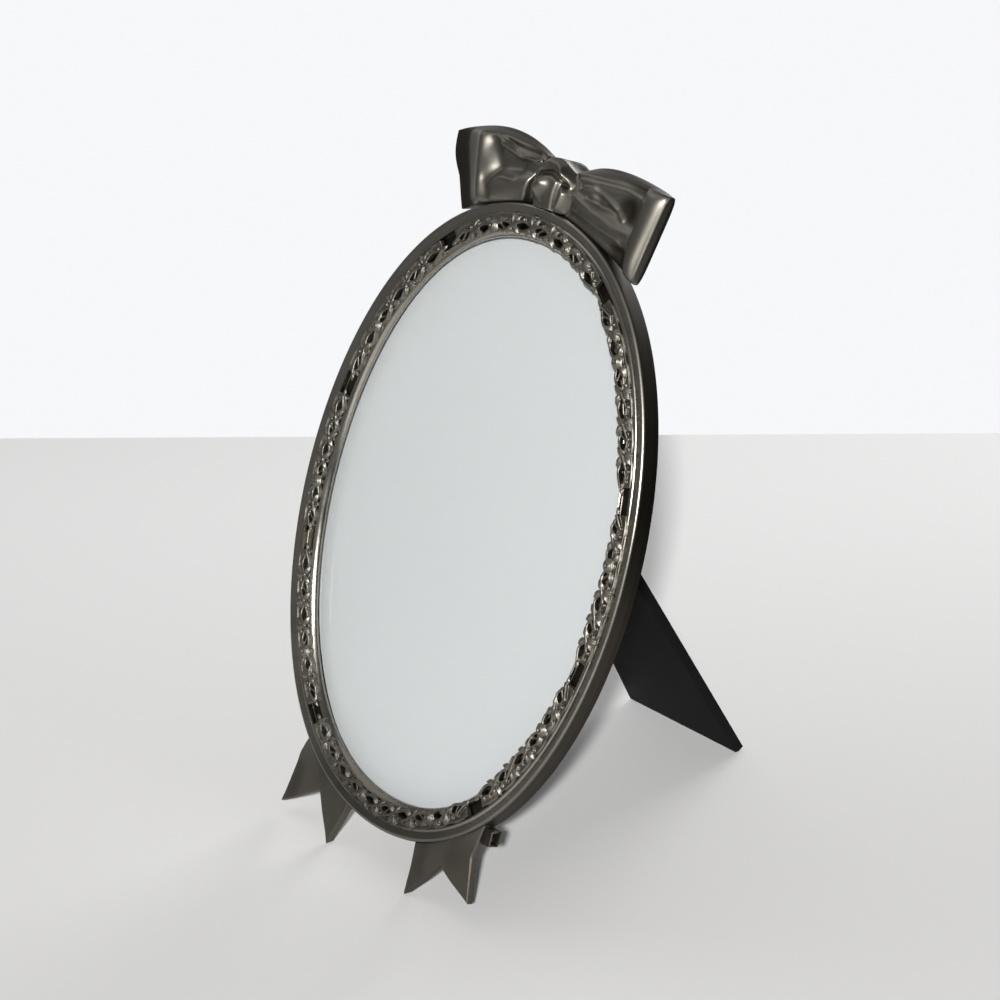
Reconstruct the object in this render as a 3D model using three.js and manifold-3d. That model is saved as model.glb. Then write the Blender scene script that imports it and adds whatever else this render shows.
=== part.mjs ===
// Oval cast pewter photo frame: a beaded rim with a rose vine in its channel, a ribbon bow on top,
// swallow-tail ribbon ends as feet, a glazed sight opening and a plastic easel back with a folding strut.
// Millimetres, +Z up, front towards -Y. The face leans back on the ribbon tips and the strut's foot.
import * as THREE from 'three';
import { mergeVertices } from 'three/addons/utils/BufferGeometryUtils.js';
import Module from 'manifold-3d';

const wasm = await Module();
wasm.setup();

// Stance: the face's lean, the open strut's slope from upright, and the rim's height above the tips
const faceLean = 20;
const strutSlope = 30;
const tailDrop = 9.8;

// Sight opening
const sightWidth = 84.6;
const sightHeight = 121;

// Rim section, widths counted outwards from the sight edge, depths back from the bead crests
const lipWidth = 1.25;
const lipDrop = 0.8;
const sightDrop = 1.6;
const seatDepth = 2.5;
const channelWidth = 2.6;
const channelDepth = 1.6;
const innerBeadRadius = 0.6;
const outerBeadRadius = 0.75;
const beadGroove = 0.5;
const rimDepth = 4.7;
const rimRearBevel = 0.3;

// Rear fence that holds the glass, the card and the easel back
const glassOverlap = 2.6;
const rabbetClearance = 0.3;
const fenceWall = 1.5;
const seatGap = 0.25;
const glassThickness = 1.5;
const cardThickness = 0.5;
const flangeThickness = 1.2;
const panelThickness = 1.2;
const panelInset = 1.6;

// Cast hooks at the foot of the fence hold the easel back's lower edge, at angles clockwise from the top
const hookAngles = [158, 202];
const hookWidth = 6;
const hookReach = 2.2;
const hookThickness = 1;

// Turn buttons on rear bosses hold its upper edge, behind the bow
const buttonAngles = [18, 342];
const bossRadius = 1.8;
const bossFromFence = 0.7;
const buttonThickness = 0.9;
const buttonEndRadius = 1.7;
const buttonReach = 3.8;
const rivetRadius = 0.8;
const rivetHeadRadius = 1.35;
const rivetHeadHeight = 0.6;
const rivetDepth = 1.6;
const runningClearance = 0.25;

// Strut and its hinge
const hingeRise = 24.2;
const strutTopWidth = 17.4;
const strutFootWidth = 35.2;
const strutFootRadius = 3;
const strutThickness = 2.4;
const strutBorder = 2.6;
const strutRecess = 0.9;
const barrelRadius = 2.4;
const heelHalfThickness = 1.1;
const pinRadius = 1.1;
const pinHeadRadius = 1.8;
const pinHeadThickness = 0.8;
const pinStandOff = 3.2;
const earThickness = 2.5;
const hingeSideGap = 0.3;
const stopGap = 0.3;

// Rose vine: bare stretches of the channel at these angles part the garlands
const bareAngles = [30, 73, 106, 145, 215, 254, 287, 330];
const bareLength = 4.5;
const vinePitch = 5.4;
const stemRadius = 0.5;
const stemOffset = 0.45;
const leafShare = 0.9;
const leafWidth = 2.1;
const leafThickness = 0.9;
const leafTurn = 26;
const roseRadius = 1.8;
const roseRise = 1.6;
const roseStalkRadius = 0.9;
const trimGap = 0.3;

// Ribbon bow, heights above the rim's top, angles from the top. The bow was cast a little askew: the skews
// lower, lengthen or turn the right loop and do the opposite to the left one.
const bowGap = 0.3;
const bowReach = 32.8;
const bowReachSkew = 0.6;
const bowNeckHeight = 9.3;
const bowCrownHeight = 17;
const bowCrownReach = 14.5;
const bowCrownSkew = 4;
const bowEndHeight = 9.6;
const bowHeightSkew = 0.8;
const bowNeckAngle = 6.4;
const bowEndAngle = 29.4;
const bowAngleSkew = 2.8;
const bowEndLift = 2.9;
const bowNeckDepth = 4.2;
const bowLoopDepth = 7.4;
const bowDepthCentre = 2.6;
const bowDish = 0.6;
const bowTopDrop = 3;
const knotWidth = 11.4;
const knotShift = 1.5;
const knotHeight = 10.8;
const knotDepth = 9;
const knotPleat = 0.6;
const knotDome = 0.22;

// Swallow-tail ribbon ends, heights above the tips' line, angles from the bottom. Both ends hang over to the
// right by the sway.
const tailInnerAngle = 12.2;
const tailOuterAngle = 34;
const tailTipReach = 13.25;
const tailNotchReach = 20.35;
const tailNotchHeight = 10.2;
const tailOuterReach = 31;
const tailOuterHeight = 4.35;
const tailWaistReach = 29.1;
const tailWaistHeight = 15.3;
const tailSway = 1.4;
const tailThickness = 2;
const tailFront = 0.7;
const tailBevel = 0.3;
const tailGap = 0.3;
const lugRadius = 1.3;
const lugLength = 1.8;
const lugInset = 3;
const lugDrop = 2.5;

// Smoothness of the round forms
const ovalSteps = 64;
const roundSteps = 14;

const pewter = { color: 0x6b675e, roughness: 0.34, metalness: 1 };
const darkPewter = { color: 0x5c584f, roughness: 0.4, metalness: 1 };
const clearGlass = { color: 0xe6eeee, roughness: 0.04, metalness: 0, transparent: true, opacity: 0.25 };
const blankCard = { color: 0xc8cccd, roughness: 0.7, metalness: 0 };
const blackPlastic = { color: 0x121314, roughness: 0.38, metalness: 0 };
const steel = { color: 0xb4b4b0, roughness: 0.3, metalness: 1 };

// Sizes that follow from the driving ones
const channelOuter = lipWidth + channelWidth;
const innerBeadCentre = channelOuter + innerBeadRadius;
const outerBeadCentre = innerBeadCentre + innerBeadRadius + beadGroove + outerBeadRadius;
const rimWidth = outerBeadCentre + outerBeadRadius;
const rimTop = sightHeight / 2 + rimWidth;
const ovalCentreHeight = rimTop + tailDrop;
const fenceInner = glassOverlap + rabbetClearance;
const fenceOuter = fenceInner + fenceWall;
const glassFront = seatDepth + seatGap;
const cardFront = glassFront + glassThickness + seatGap;
const flangeFront = cardFront + cardThickness + seatGap;
const flangeRear = flangeFront + flangeThickness;
const panelRear = flangeRear + panelThickness;
const fenceDepth = flangeRear;
const buttonFront = fenceDepth + runningClearance;
const bossOffset = fenceInner + bossFromFence + bossRadius;
const pinDepth = panelRear + pinStandOff;
const barrelLength = strutTopWidth;
const earInner = barrelLength / 2 + hingeSideGap;
const earOuter = earInner + earThickness;
const openAngle = faceLean + strutSlope;

const radians = THREE.MathUtils.degToRad;

// Point on the parallel oval that lies an offset outside the sight edge, at a turn clockwise from the top
function ovalPoint(offset, turn) {
  const halfWidth = sightWidth / 2;
  const halfHeight = sightHeight / 2;
  const normal = new THREE.Vector2(halfHeight * Math.sin(turn), halfWidth * Math.cos(turn)).normalize();
  return new THREE.Vector2(halfWidth * Math.sin(turn), halfHeight * Math.cos(turn)).addScaledVector(normal, offset);
}

// Turn about the depth axis that points +Z along the oval's outward normal
function ovalHeading(turn) {
  return Math.atan2(sightHeight * Math.sin(turn), sightWidth * Math.cos(turn));
}

function ovalShape(offset) {
  const points = [];
  for (let step = 0; step < ovalSteps; step += 1) {
    points.push(ovalPoint(offset, -2 * Math.PI * step / ovalSteps));
  }
  return new THREE.Shape(points);
}

// Position-only copy with shared vertices, no collapsed triangles and its faces pointing out
function closed(geometry) {
  const bare = new THREE.BufferGeometry();
  bare.setAttribute('position', geometry.getAttribute('position').clone());
  bare.setIndex(geometry.index);
  const merged = mergeVertices(bare, 1e-4);
  const corners = merged.index.array;
  const kept = [];
  for (let i = 0; i < corners.length; i += 3) {
    const [a, b, c] = corners.subarray(i, i + 3);
    if (a !== b && b !== c && c !== a) kept.push(a, b, c);
  }
  const places = merged.getAttribute('position');
  const [p, q, r] = [new THREE.Vector3(), new THREE.Vector3(), new THREE.Vector3()];
  let volume = 0;
  for (let i = 0; i < kept.length; i += 3) {
    p.fromBufferAttribute(places, kept[i]);
    q.fromBufferAttribute(places, kept[i + 1]);
    r.fromBufferAttribute(places, kept[i + 2]);
    volume += p.dot(q.cross(r));
  }
  merged.setIndex(volume < 0 ? kept.reverse() : kept);
  return merged;
}

function solid(geometry) {
  const shell = closed(geometry);
  const vertProperties = new Float32Array(shell.getAttribute('position').array);
  const triVerts = new Uint32Array(shell.index.array);
  return new wasm.Manifold(new wasm.Mesh({ numProp: 3, vertProperties, triVerts }));
}

function shellOf(body) {
  const mesh = body.getMesh();
  const geometry = new THREE.BufferGeometry();
  geometry.setAttribute('position', new THREE.BufferAttribute(mesh.vertProperties, 3));
  geometry.setIndex(new THREE.BufferAttribute(mesh.triVerts, 1));
  return geometry;
}

function joined(solids) {
  return solids.reduce((whole, next) => whole.add(next));
}

// Flat plate of an outline in the face's plane, from a front depth backwards
function plate(shape, front, thickness, bevel = 0) {
  const geometry = new THREE.ExtrudeGeometry(shape, {
    depth: thickness - 2 * bevel,
    bevelEnabled: bevel > 0,
    bevelThickness: bevel,
    bevelSize: bevel,
    bevelOffset: -bevel,
    bevelSegments: 1,
    curveSegments: 8,
  });
  return geometry.rotateX(Math.PI / 2).translate(0, front + thickness - bevel, 0);
}

function post(radius, front, rear, place) {
  const geometry = new THREE.CylinderGeometry(radius, radius, rear - front, roundSteps);
  return geometry.translate(place.x, (front + rear) / 2, place.y);
}

// Moves each vertex of a geometry by a rule
function reshaped(geometry, rule) {
  const places = geometry.getAttribute('position');
  const point = new THREE.Vector3();
  for (let i = 0; i < places.count; i += 1) {
    const moved = rule(point.fromBufferAttribute(places, i));
    places.setXYZ(i, moved.x, moved.y, moved.z);
  }
  return geometry;
}

// Revolved section bent from a circle to the oval
function ovalRing(section) {
  const circle = sightWidth / 2;
  const profile = section.map((place) => new THREE.Vector2(circle + place.x, place.y));
  const ring = new THREE.LatheGeometry([...profile, profile[0]], ovalSteps);
  return reshaped(ring, (point) => {
    const place = ovalPoint(Math.hypot(point.x, point.z) - circle, Math.atan2(point.x, point.z));
    return new THREE.Vector3(place.x, point.y, place.y);
  });
}

// Hook that rises from the fence and reaches in over the easel back's flange
function rearHook(turn) {
  const under = flangeRear + seatGap;
  const root = fenceDepth - fenceWall;
  const section = new THREE.Shape([
    new THREE.Vector2(fenceInner, root),
    new THREE.Vector2(fenceOuter, root),
    new THREE.Vector2(fenceOuter, under + hookThickness),
    new THREE.Vector2(fenceInner - hookReach, under + hookThickness),
    new THREE.Vector2(fenceInner - hookReach, under),
    new THREE.Vector2(fenceInner, under),
  ]);
  const hook = new THREE.ExtrudeGeometry(section, { depth: hookWidth, bevelEnabled: false });
  const heading = ovalHeading(turn);
  const outward = new THREE.Vector3(Math.sin(heading), 0, Math.cos(heading));
  const rearward = new THREE.Vector3(0, 1, 0);
  const along = outward.clone().cross(rearward);
  const edge = ovalPoint(0, turn);
  hook.translate(0, 0, -hookWidth / 2);
  hook.applyMatrix4(new THREE.Matrix4().makeBasis(outward, rearward, along));
  return hook.translate(edge.x, 0, edge.y);
}

// Cast rim: sight lip, vine channel, two beads, plain side wall and the rear fence
function rimCasting() {
  const section = new THREE.Path();
  section.moveTo(0, seatDepth);
  section.lineTo(0, sightDrop);
  section.quadraticCurveTo(0, lipDrop, lipWidth / 2, lipDrop);
  section.lineTo(lipWidth, lipDrop);
  section.lineTo(lipWidth, channelDepth);
  section.lineTo(channelOuter, channelDepth);
  section.absarc(innerBeadCentre, outerBeadRadius, innerBeadRadius, Math.PI, 2 * Math.PI);
  section.absarc(outerBeadCentre, outerBeadRadius, outerBeadRadius, Math.PI, 2 * Math.PI);
  section.lineTo(rimWidth, rimDepth - rimRearBevel);
  section.lineTo(rimWidth - rimRearBevel, rimDepth);
  section.lineTo(fenceOuter, rimDepth);
  section.lineTo(fenceOuter, fenceDepth);
  section.lineTo(fenceInner, fenceDepth);
  section.lineTo(fenceInner, seatDepth);
  let rim = solid(ovalRing(section.getPoints(2)));
  for (const angle of buttonAngles) {
    const place = ovalPoint(bossOffset, radians(angle));
    const foot = (rimDepth + channelDepth) / 2;
    const hole = post(rivetRadius + runningClearance, fenceDepth - rivetDepth, fenceDepth + 1, place);
    rim = rim.add(solid(post(bossRadius, foot, fenceDepth, place))).subtract(solid(hole));
  }
  return shellOf(joined([rim, ...hookAngles.map((angle) => solid(rearHook(radians(angle))))]));
}

// Pointed leaf: a spindle pressed flat, lying across a heading in the face's plane
function leaf(length, place, heading, side) {
  const half = length / 2;
  const outline = [[0, -1], [0.9, -0.3], [0.8, 0.3], [0, 1]];
  const spindle = new THREE.LatheGeometry(outline.map(([x, y]) => new THREE.Vector2(x, y * half)), 6);
  spindle.scale(leafWidth / 2, 1, leafThickness / 2);
  spindle.rotateX(Math.PI / 2);
  spindle.rotateY(heading + Math.PI / 2 + side * radians(leafTurn));
  const front = -trimGap - leafThickness / 2 + outerBeadRadius - innerBeadRadius;
  return spindle.translate(place.x, front, place.y);
}

// Open rose: a stalk in the channel under a cup of petals and a raised heart
function rose(place, heading) {
  const foot = channelDepth - trimGap;
  const brim = -trimGap + outerBeadRadius - innerBeadRadius;
  const outline = [
    [0, foot],
    [roseStalkRadius, foot],
    [roseStalkRadius, brim],
    [roseRadius, brim - roseRise * 0.2],
    [roseRadius * 0.75, brim - roseRise * 0.75],
    [roseRadius * 0.5, brim - roseRise * 0.6],
    [roseRadius * 0.25, brim - roseRise],
    [0, brim - roseRise],
  ];
  const cup = new THREE.LatheGeometry(outline.map(([x, y]) => new THREE.Vector2(x, y)), 8);
  reshaped(cup, (point) => {
    const petals = 1 + 0.09 * Math.cos(4 * Math.atan2(point.x, point.z));
    const spread = Math.hypot(point.x, point.z) > roseStalkRadius ? petals : 1;
    return new THREE.Vector3(point.x * spread, point.y, point.z * spread);
  });
  return cup.rotateY(heading).translate(place.x, 0, place.y);
}

// One garland: a swinging stem in the channel with leaves to either side and roses between them
function garland(startTurn, endTurn) {
  const middle = lipWidth + channelWidth / 2;
  const start = ovalPoint(middle, startTurn);
  const end = ovalPoint(middle, endTurn);
  const centre = ovalPoint(middle, (startTurn + endTurn) / 2);
  const length = start.distanceTo(centre) + centre.distanceTo(end);
  const sprays = Math.max(2, 2 * Math.round(length / vinePitch / 2));
  const stemTop = -trimGap - leafThickness / 2 + outerBeadRadius - innerBeadRadius;
  const route = [];
  for (let i = 0; i <= 2 * sprays; i += 1) {
    const turn = THREE.MathUtils.lerp(startTurn, endTurn, i / (2 * sprays));
    const place = ovalPoint(middle + stemOffset * Math.sin(Math.PI * i / 2), turn);
    route.push(new THREE.Vector3(place.x, stemTop + stemRadius, place.y));
  }
  const ring = new THREE.Shape();
  ring.absarc(0, 0, stemRadius, 0, 2 * Math.PI);
  const stem = new THREE.ExtrudeGeometry(ring, {
    steps: 2 * sprays,
    curveSegments: 2,
    extrudePath: new THREE.CatmullRomCurve3(route),
  });
  const pieces = [solid(stem)];
  for (let i = 0; i < sprays; i += 1) {
    const turn = THREE.MathUtils.lerp(startTurn, endTurn, (i + 0.5) / sprays);
    const side = i % 2 === 0 ? 1 : -1;
    const heading = ovalHeading(turn);
    const place = ovalPoint(middle + side * stemOffset, turn);
    pieces.push(solid(leaf(leafShare * length / sprays, place, heading, side)));
    if (i > 0 && i % 2 === 0) {
      const bloomTurn = THREE.MathUtils.lerp(startTurn, endTurn, i / sprays);
      pieces.push(solid(rose(ovalPoint(middle, bloomTurn), ovalHeading(bloomTurn))));
    }
  }
  return shellOf(joined(pieces));
}

// Loop of the bow: a puffed ribbon between the rim below and a crowned top edge, dished in front, its top
// sloping forward and a rounded fold at its outer end
function bowLoop(side) {
  const lower = side * bowHeightSkew;
  const neck = knotWidth / 2 + bowGap + side * knotShift;
  const topEdge = new THREE.QuadraticBezierCurve(
    new THREE.Vector2(neck, rimTop + bowNeckHeight - lower),
    new THREE.Vector2(bowCrownReach - side * bowCrownSkew, rimTop + bowCrownHeight - 2 * lower),
    new THREE.Vector2(bowReach + side * bowReachSkew, rimTop + bowEndHeight - lower / 2),
  );
  const tube = new THREE.CylinderGeometry(1, 1, 1, 16, 9);
  return reshaped(tube, (point) => {
    const along = 1 - Math.max(0, 0.5 - point.y) ** 1.5;
    const angle = Math.atan2(point.x, point.z);
    const spread = Math.hypot(point.x, point.z);
    const across = spread * Math.sign(Math.sin(angle)) * Math.abs(Math.sin(angle)) ** 0.5;
    const forward = spread * Math.sign(Math.cos(angle)) * Math.abs(Math.cos(angle)) ** 0.5;
    const top = topEdge.getPoint(along);
    const turn = radians(THREE.MathUtils.lerp(bowNeckAngle, bowEndAngle + side * bowAngleSkew, along));
    const bottom = ovalPoint(rimWidth + bowGap + bowEndLift * along ** 2, turn);
    bottom.x = Math.max(bottom.x, neck);
    const place = bottom.clone().lerp(top, (across + 1) / 2);
    place.y -= bowTopDrop * Math.max(0, across) ** 3 * (1 + forward) / 2 * Math.sin(Math.PI * along);
    const puff = THREE.MathUtils.lerp(bowNeckDepth, bowLoopDepth, Math.min(1, along * 1.6)) / 2;
    const fold = Math.sqrt(Math.max(0.09, 1 - Math.max(0, (along - 0.84) / 0.16) ** 2));
    const dish = forward > 0 ? bowDish * (1 - across ** 4) * Math.sin(Math.PI * Math.min(1, along * 1.08)) : 0;
    const depth = bowDepthCentre - forward * puff * fold * (1 - dish);
    return new THREE.Vector3(side * place.x, depth, place.y);
  });
}

// Knot of the bow: an upright band with pleats down its front
function bowKnot() {
  const drum = new THREE.CylinderGeometry(1, 1, 1, 20, 6);
  return reshaped(drum, (point) => {
    const up = point.y + 0.5;
    const angle = Math.atan2(point.x, point.z);
    const spread = Math.hypot(point.x, point.z);
    const across = spread * Math.sign(Math.sin(angle)) * Math.abs(Math.sin(angle)) ** 0.6;
    const forward = spread * Math.sign(Math.cos(angle)) * Math.abs(Math.cos(angle)) ** 0.6;
    const belly = 0.72 + 0.28 * Math.sin(Math.PI * up);
    const pleat = forward > 0 ? knotPleat * Math.cos(3 * Math.PI * across) * spread : 0;
    const depth = bowDepthCentre - forward * belly * knotDepth / 2 - pleat;
    const height = rimTop + bowGap + up * knotHeight * (1 - knotDome * across ** 2);
    return new THREE.Vector3(knotShift + across * belly * knotWidth / 2, depth, height);
  });
}

// Swallow-tail ribbon end, its top fitted under the rim and its inner tip cut flat where it stands
function ribbonTail(side, floor) {
  const lift = (reach, height) => new THREE.Vector2(reach, height - ovalCentreHeight);
  const outline = [];
  const steps = 6;
  const sway = side * tailSway;
  const innerTurn = radians(tailInnerAngle) + sway / rimTop;
  const outerTurn = radians(tailOuterAngle) + sway / tailOuterReach;
  for (let i = 0; i <= steps; i += 1) {
    const turn = Math.PI - THREE.MathUtils.lerp(innerTurn, outerTurn, i / steps);
    outline.push(ovalPoint(rimWidth + tailGap, turn));
  }
  outline.push(lift(tailWaistReach, tailWaistHeight));
  outline.push(lift(tailOuterReach, tailOuterHeight + sway));
  outline.push(lift(tailNotchReach + sway, tailNotchHeight));
  outline.push(lift(tailTipReach, 0));
  const ribbon = plate(new THREE.Shape(outline), tailFront, tailThickness, tailBevel);
  const lugPlace = ovalPoint(rimWidth + tailGap + lugDrop, Math.PI - outerTurn + radians(lugInset));
  const lugFront = tailFront + tailThickness / 2;
  const lug = post(lugRadius, lugFront, tailFront + tailThickness + lugLength, lugPlace);
  const tail = solid(ribbon).add(solid(lug));
  const mirrored = shellOf(tail).scale(side, 1, 1);
  return shellOf(solid(mirrored).subtract(floor));
}

// Easel back: a flanged oval plate with a raised panel, a pocket for the strut's heel and two hinge ears
function easelBack() {
  const flange = solid(plate(ovalShape(glassOverlap), flangeFront, flangeThickness));
  const panelFront = flangeFront + flangeThickness / 2;
  const panel = solid(plate(ovalShape(-panelInset), panelFront, panelRear - panelFront));
  const pocketHeight = 2 * (barrelRadius + pinStandOff);
  const pocket = new THREE.BoxGeometry(2 * earInner, 2 * panelThickness, pocketHeight);
  pocket.translate(0, panelRear, hingeRise + pocketHeight / 2);
  const ear = new THREE.Shape();
  ear.moveTo(-barrelRadius, -pinDepth + panelFront);
  ear.lineTo(barrelRadius, -pinDepth + panelFront);
  ear.absarc(0, 0, barrelRadius, 0, Math.PI);
  const bore = new THREE.Path();
  bore.absarc(0, 0, pinRadius + runningClearance, 0, 2 * Math.PI);
  ear.holes.push(bore);
  const ears = [earInner, -earOuter].map((place) => {
    const geometry = new THREE.ExtrudeGeometry(ear, { depth: earThickness, bevelEnabled: false, curveSegments: 8 });
    geometry.applyMatrix4(new THREE.Matrix4().set(0, 0, 1, place, 0, 1, 0, pinDepth, 1, 0, 0, hingeRise, 0, 0, 0, 1));
    return solid(geometry);
  });
  const body = joined([flange, panel]).subtract(solid(pocket));
  return shellOf(joined([body, ...ears]));
}

// Folding strut hanging from its hinge line: tapered panel, bordered recess behind, barrel and stop heel
function strut(floor, length) {
  const top = strutTopWidth / 2;
  const foot = strutFootWidth / 2;
  const outline = new THREE.Shape();
  outline.moveTo(-top, 0);
  outline.lineTo(-foot, -length + strutFootRadius);
  outline.lineTo(-foot + strutFootRadius, -length);
  outline.lineTo(foot - strutFootRadius, -length);
  outline.lineTo(foot, -length + strutFootRadius);
  outline.lineTo(top, 0);
  const recessTop = -barrelRadius - strutBorder;
  const recessFoot = -length + 3 * strutBorder;
  const widthAt = (height) => top + (foot - top) * -height / length - strutBorder;
  const recess = new THREE.Shape([
    new THREE.Vector2(-widthAt(recessTop), recessTop),
    new THREE.Vector2(-widthAt(recessFoot), recessFoot),
    new THREE.Vector2(widthAt(recessFoot), recessFoot),
    new THREE.Vector2(widthAt(recessTop), recessTop),
  ]);
  const swing = radians(openAngle);
  const heelRoom = pinDepth - flangeRear - stopGap;
  const heelLength = (heelRoom - heelHalfThickness * Math.cos(swing)) / Math.sin(swing);
  const heel = new THREE.BoxGeometry(barrelLength, 2 * heelHalfThickness, heelLength).translate(0, 0, heelLength / 2);
  const barrel = new THREE.CylinderGeometry(barrelRadius, barrelRadius, barrelLength, 20).rotateZ(Math.PI / 2);
  const boreRadius = pinRadius + runningClearance;
  const bore = new THREE.CylinderGeometry(boreRadius, boreRadius, 2 * barrelLength, 20).rotateZ(Math.PI / 2);
  const front = -strutThickness / 2;
  const panel = solid(plate(outline, front, strutThickness));
  const hollow = solid(plate(recess, -front - strutRecess, 2 * strutRecess));
  const body = joined([panel.subtract(hollow), solid(barrel), solid(heel)]);
  return shellOf(body.subtract(solid(bore)).subtract(floor));
}

// Headed pin through the ears and the strut's barrel
function hingePin() {
  const reach = earOuter + hingeSideGap;
  const outline = [
    [0, -reach - pinHeadThickness],
    [pinHeadRadius, -reach - pinHeadThickness],
    [pinHeadRadius, -reach],
    [pinRadius, -reach],
    [pinRadius, reach],
    [pinHeadRadius, reach],
    [pinHeadRadius, reach + pinHeadThickness],
    [0, reach + pinHeadThickness],
  ];
  const pin = new THREE.LatheGeometry(outline.map(([x, y]) => new THREE.Vector2(x, y)), roundSteps);
  return pin.rotateZ(Math.PI / 2);
}

// Turn button: a round-ended tongue that swings over the easel back's flange
function turnButton() {
  const tongue = new THREE.Shape();
  tongue.absarc(0, 0, buttonEndRadius, 0, Math.PI);
  tongue.absarc(0, -buttonReach, buttonEndRadius, Math.PI, 2 * Math.PI);
  const hole = new THREE.Path();
  hole.absarc(0, 0, rivetRadius + runningClearance, 0, 2 * Math.PI);
  tongue.holes.push(hole);
  return plate(tongue, buttonFront, buttonThickness);
}

function buttonRivet() {
  const headFront = buttonFront + buttonThickness + runningClearance;
  const tip = fenceDepth - rivetDepth + runningClearance;
  const outline = [
    [0, tip],
    [rivetRadius, tip],
    [rivetRadius, headFront],
    [rivetHeadRadius, headFront],
    [rivetHeadRadius * 0.7, headFront + rivetHeadHeight],
    [0, headFront + rivetHeadHeight],
  ];
  return new THREE.LatheGeometry(outline.map(([x, y]) => new THREE.Vector2(x, y)), roundSteps);
}

// Assembly: everything fixed to the leaning face, with the oval's centre as its origin
const frame = new THREE.Group();
const face = new THREE.Group();
const lean = radians(faceLean);
face.position.set(0, ovalCentreHeight * Math.sin(lean), ovalCentreHeight * Math.cos(lean));
face.rotation.x = -lean;
frame.add(face);

const swing = new THREE.Group();
swing.position.set(0, pinDepth, hingeRise);
swing.rotation.x = radians(openAngle);
face.add(swing);
frame.updateMatrixWorld(true);

function place(group, name, geometry, finish) {
  const mesh = new THREE.Mesh(closed(geometry), new THREE.MeshStandardMaterial(finish));
  mesh.name = name;
  group.add(mesh);
  return mesh;
}

// The surface that the frame stands on, as seen from a group
function floorBelow(group) {
  const span = 2 * (sightWidth + sightHeight);
  const block = new THREE.BoxGeometry(span, span, span).translate(0, 0, -span / 2);
  return solid(block.applyMatrix4(group.matrixWorld.clone().invert()));
}

place(face, 'rim_casting', rimCasting(), pewter);
const bareTurns = bareAngles.map((angle) => radians(angle));
const garlandNames = [
  'garland_right_upper', 'garland_right_middle', 'garland_right_lower', 'garland_bottom',
  'garland_left_lower', 'garland_left_middle', 'garland_left_upper', 'garland_top',
];
garlandNames.forEach((name, i) => {
  const start = bareTurns[i];
  const end = i + 1 < bareTurns.length ? bareTurns[i + 1] : bareTurns[0] + 2 * Math.PI;
  const half = bareLength / (sightWidth / 2 + sightHeight / 2);
  place(face, name, garland(start + half, end - half), darkPewter);
});
place(face, 'bow_loop_left', bowLoop(-1), pewter);
place(face, 'bow_loop_right', bowLoop(1), pewter);
place(face, 'bow_knot', bowKnot(), pewter);
const faceFloor = floorBelow(face);
place(face, 'ribbon_tail_left', ribbonTail(-1, faceFloor), pewter);
place(face, 'ribbon_tail_right', ribbonTail(1, faceFloor), pewter);
place(face, 'glass_pane', plate(ovalShape(glassOverlap), glassFront, glassThickness), clearGlass);
place(face, 'picture_card', plate(ovalShape(glassOverlap), cardFront, cardThickness), blankCard);
place(face, 'easel_back', easelBack(), blackPlastic);
place(face, 'hinge_pin', hingePin(), steel).position.set(0, pinDepth, hingeRise);
buttonAngles.forEach((angle, i) => {
  const hand = ['right', 'left'][i];
  const pivot = ovalPoint(bossOffset, radians(angle));
  const button = place(face, `turn_button_${hand}`, turnButton(), steel);
  button.position.set(pivot.x, 0, pivot.y);
  button.rotation.y = ovalHeading(radians(angle));
  place(face, `button_rivet_${hand}`, buttonRivet(), steel).position.set(pivot.x, 0, pivot.y);
});
const hingeHeight = new THREE.Vector3().setFromMatrixPosition(swing.matrixWorld).z;
const strutLength = (hingeHeight + strutThickness) / Math.cos(radians(strutSlope));
place(swing, 'strut', strut(floorBelow(swing), strutLength), blackPlastic);

// The origin lies on the floor under the middle of the whole frame
frame.updateMatrixWorld(true);
const middle = new THREE.Box3().setFromObject(frame, true).getCenter(new THREE.Vector3());
frame.position.set(-middle.x, -middle.y, 0);
frame.updateMatrixWorld(true);

export default frame;
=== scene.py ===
"""Oval cast pewter photo frame: beaded rim, rose vine, ribbon bow, glazing and easel back with its strut."""

import math
from types import SimpleNamespace

import bpy
from bpy.props import FloatProperty, FloatVectorProperty, IntProperty, PointerProperty
from bpy.types import Operator, Panel, PropertyGroup
from mathutils import Matrix, Vector
from mathutils.geometry import intersect_point_line


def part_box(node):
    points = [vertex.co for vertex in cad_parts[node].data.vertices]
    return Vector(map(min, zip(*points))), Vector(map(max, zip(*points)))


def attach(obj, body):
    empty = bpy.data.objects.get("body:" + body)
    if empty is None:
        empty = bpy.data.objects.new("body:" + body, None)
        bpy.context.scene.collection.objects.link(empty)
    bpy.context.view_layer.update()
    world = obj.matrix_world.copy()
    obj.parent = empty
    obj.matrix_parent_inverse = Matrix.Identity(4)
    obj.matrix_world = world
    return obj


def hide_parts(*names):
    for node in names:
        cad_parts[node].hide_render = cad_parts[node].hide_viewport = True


bl_info = {
    "name": "Oval Pewter Photo Frame",
    "version": (1, 0, 0),
    "blender": (4, 5, 0),
    "location": "View3D > Sidebar > Photo Frame",
    "description": "Dresses the solids of an oval pewter photo frame with its castings and finishes",
    "category": "Add Mesh",
}

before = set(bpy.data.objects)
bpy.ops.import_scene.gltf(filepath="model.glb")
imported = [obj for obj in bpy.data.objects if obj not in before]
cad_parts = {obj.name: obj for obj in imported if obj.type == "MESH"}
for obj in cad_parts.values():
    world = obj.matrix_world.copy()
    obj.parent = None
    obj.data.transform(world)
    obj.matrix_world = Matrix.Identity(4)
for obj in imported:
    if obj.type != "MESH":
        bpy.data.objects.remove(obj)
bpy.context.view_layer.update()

# Pieces are modelled on a bench in millimetres, upright about the oval's centre, then leaned into place
MM = 0.001
TURN = 2 * math.pi


def length(name, description, millimetres):
    return FloatProperty(
        name=name, description=description, default=millimetres * MM, subtype="DISTANCE", unit="LENGTH"
    )


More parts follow.
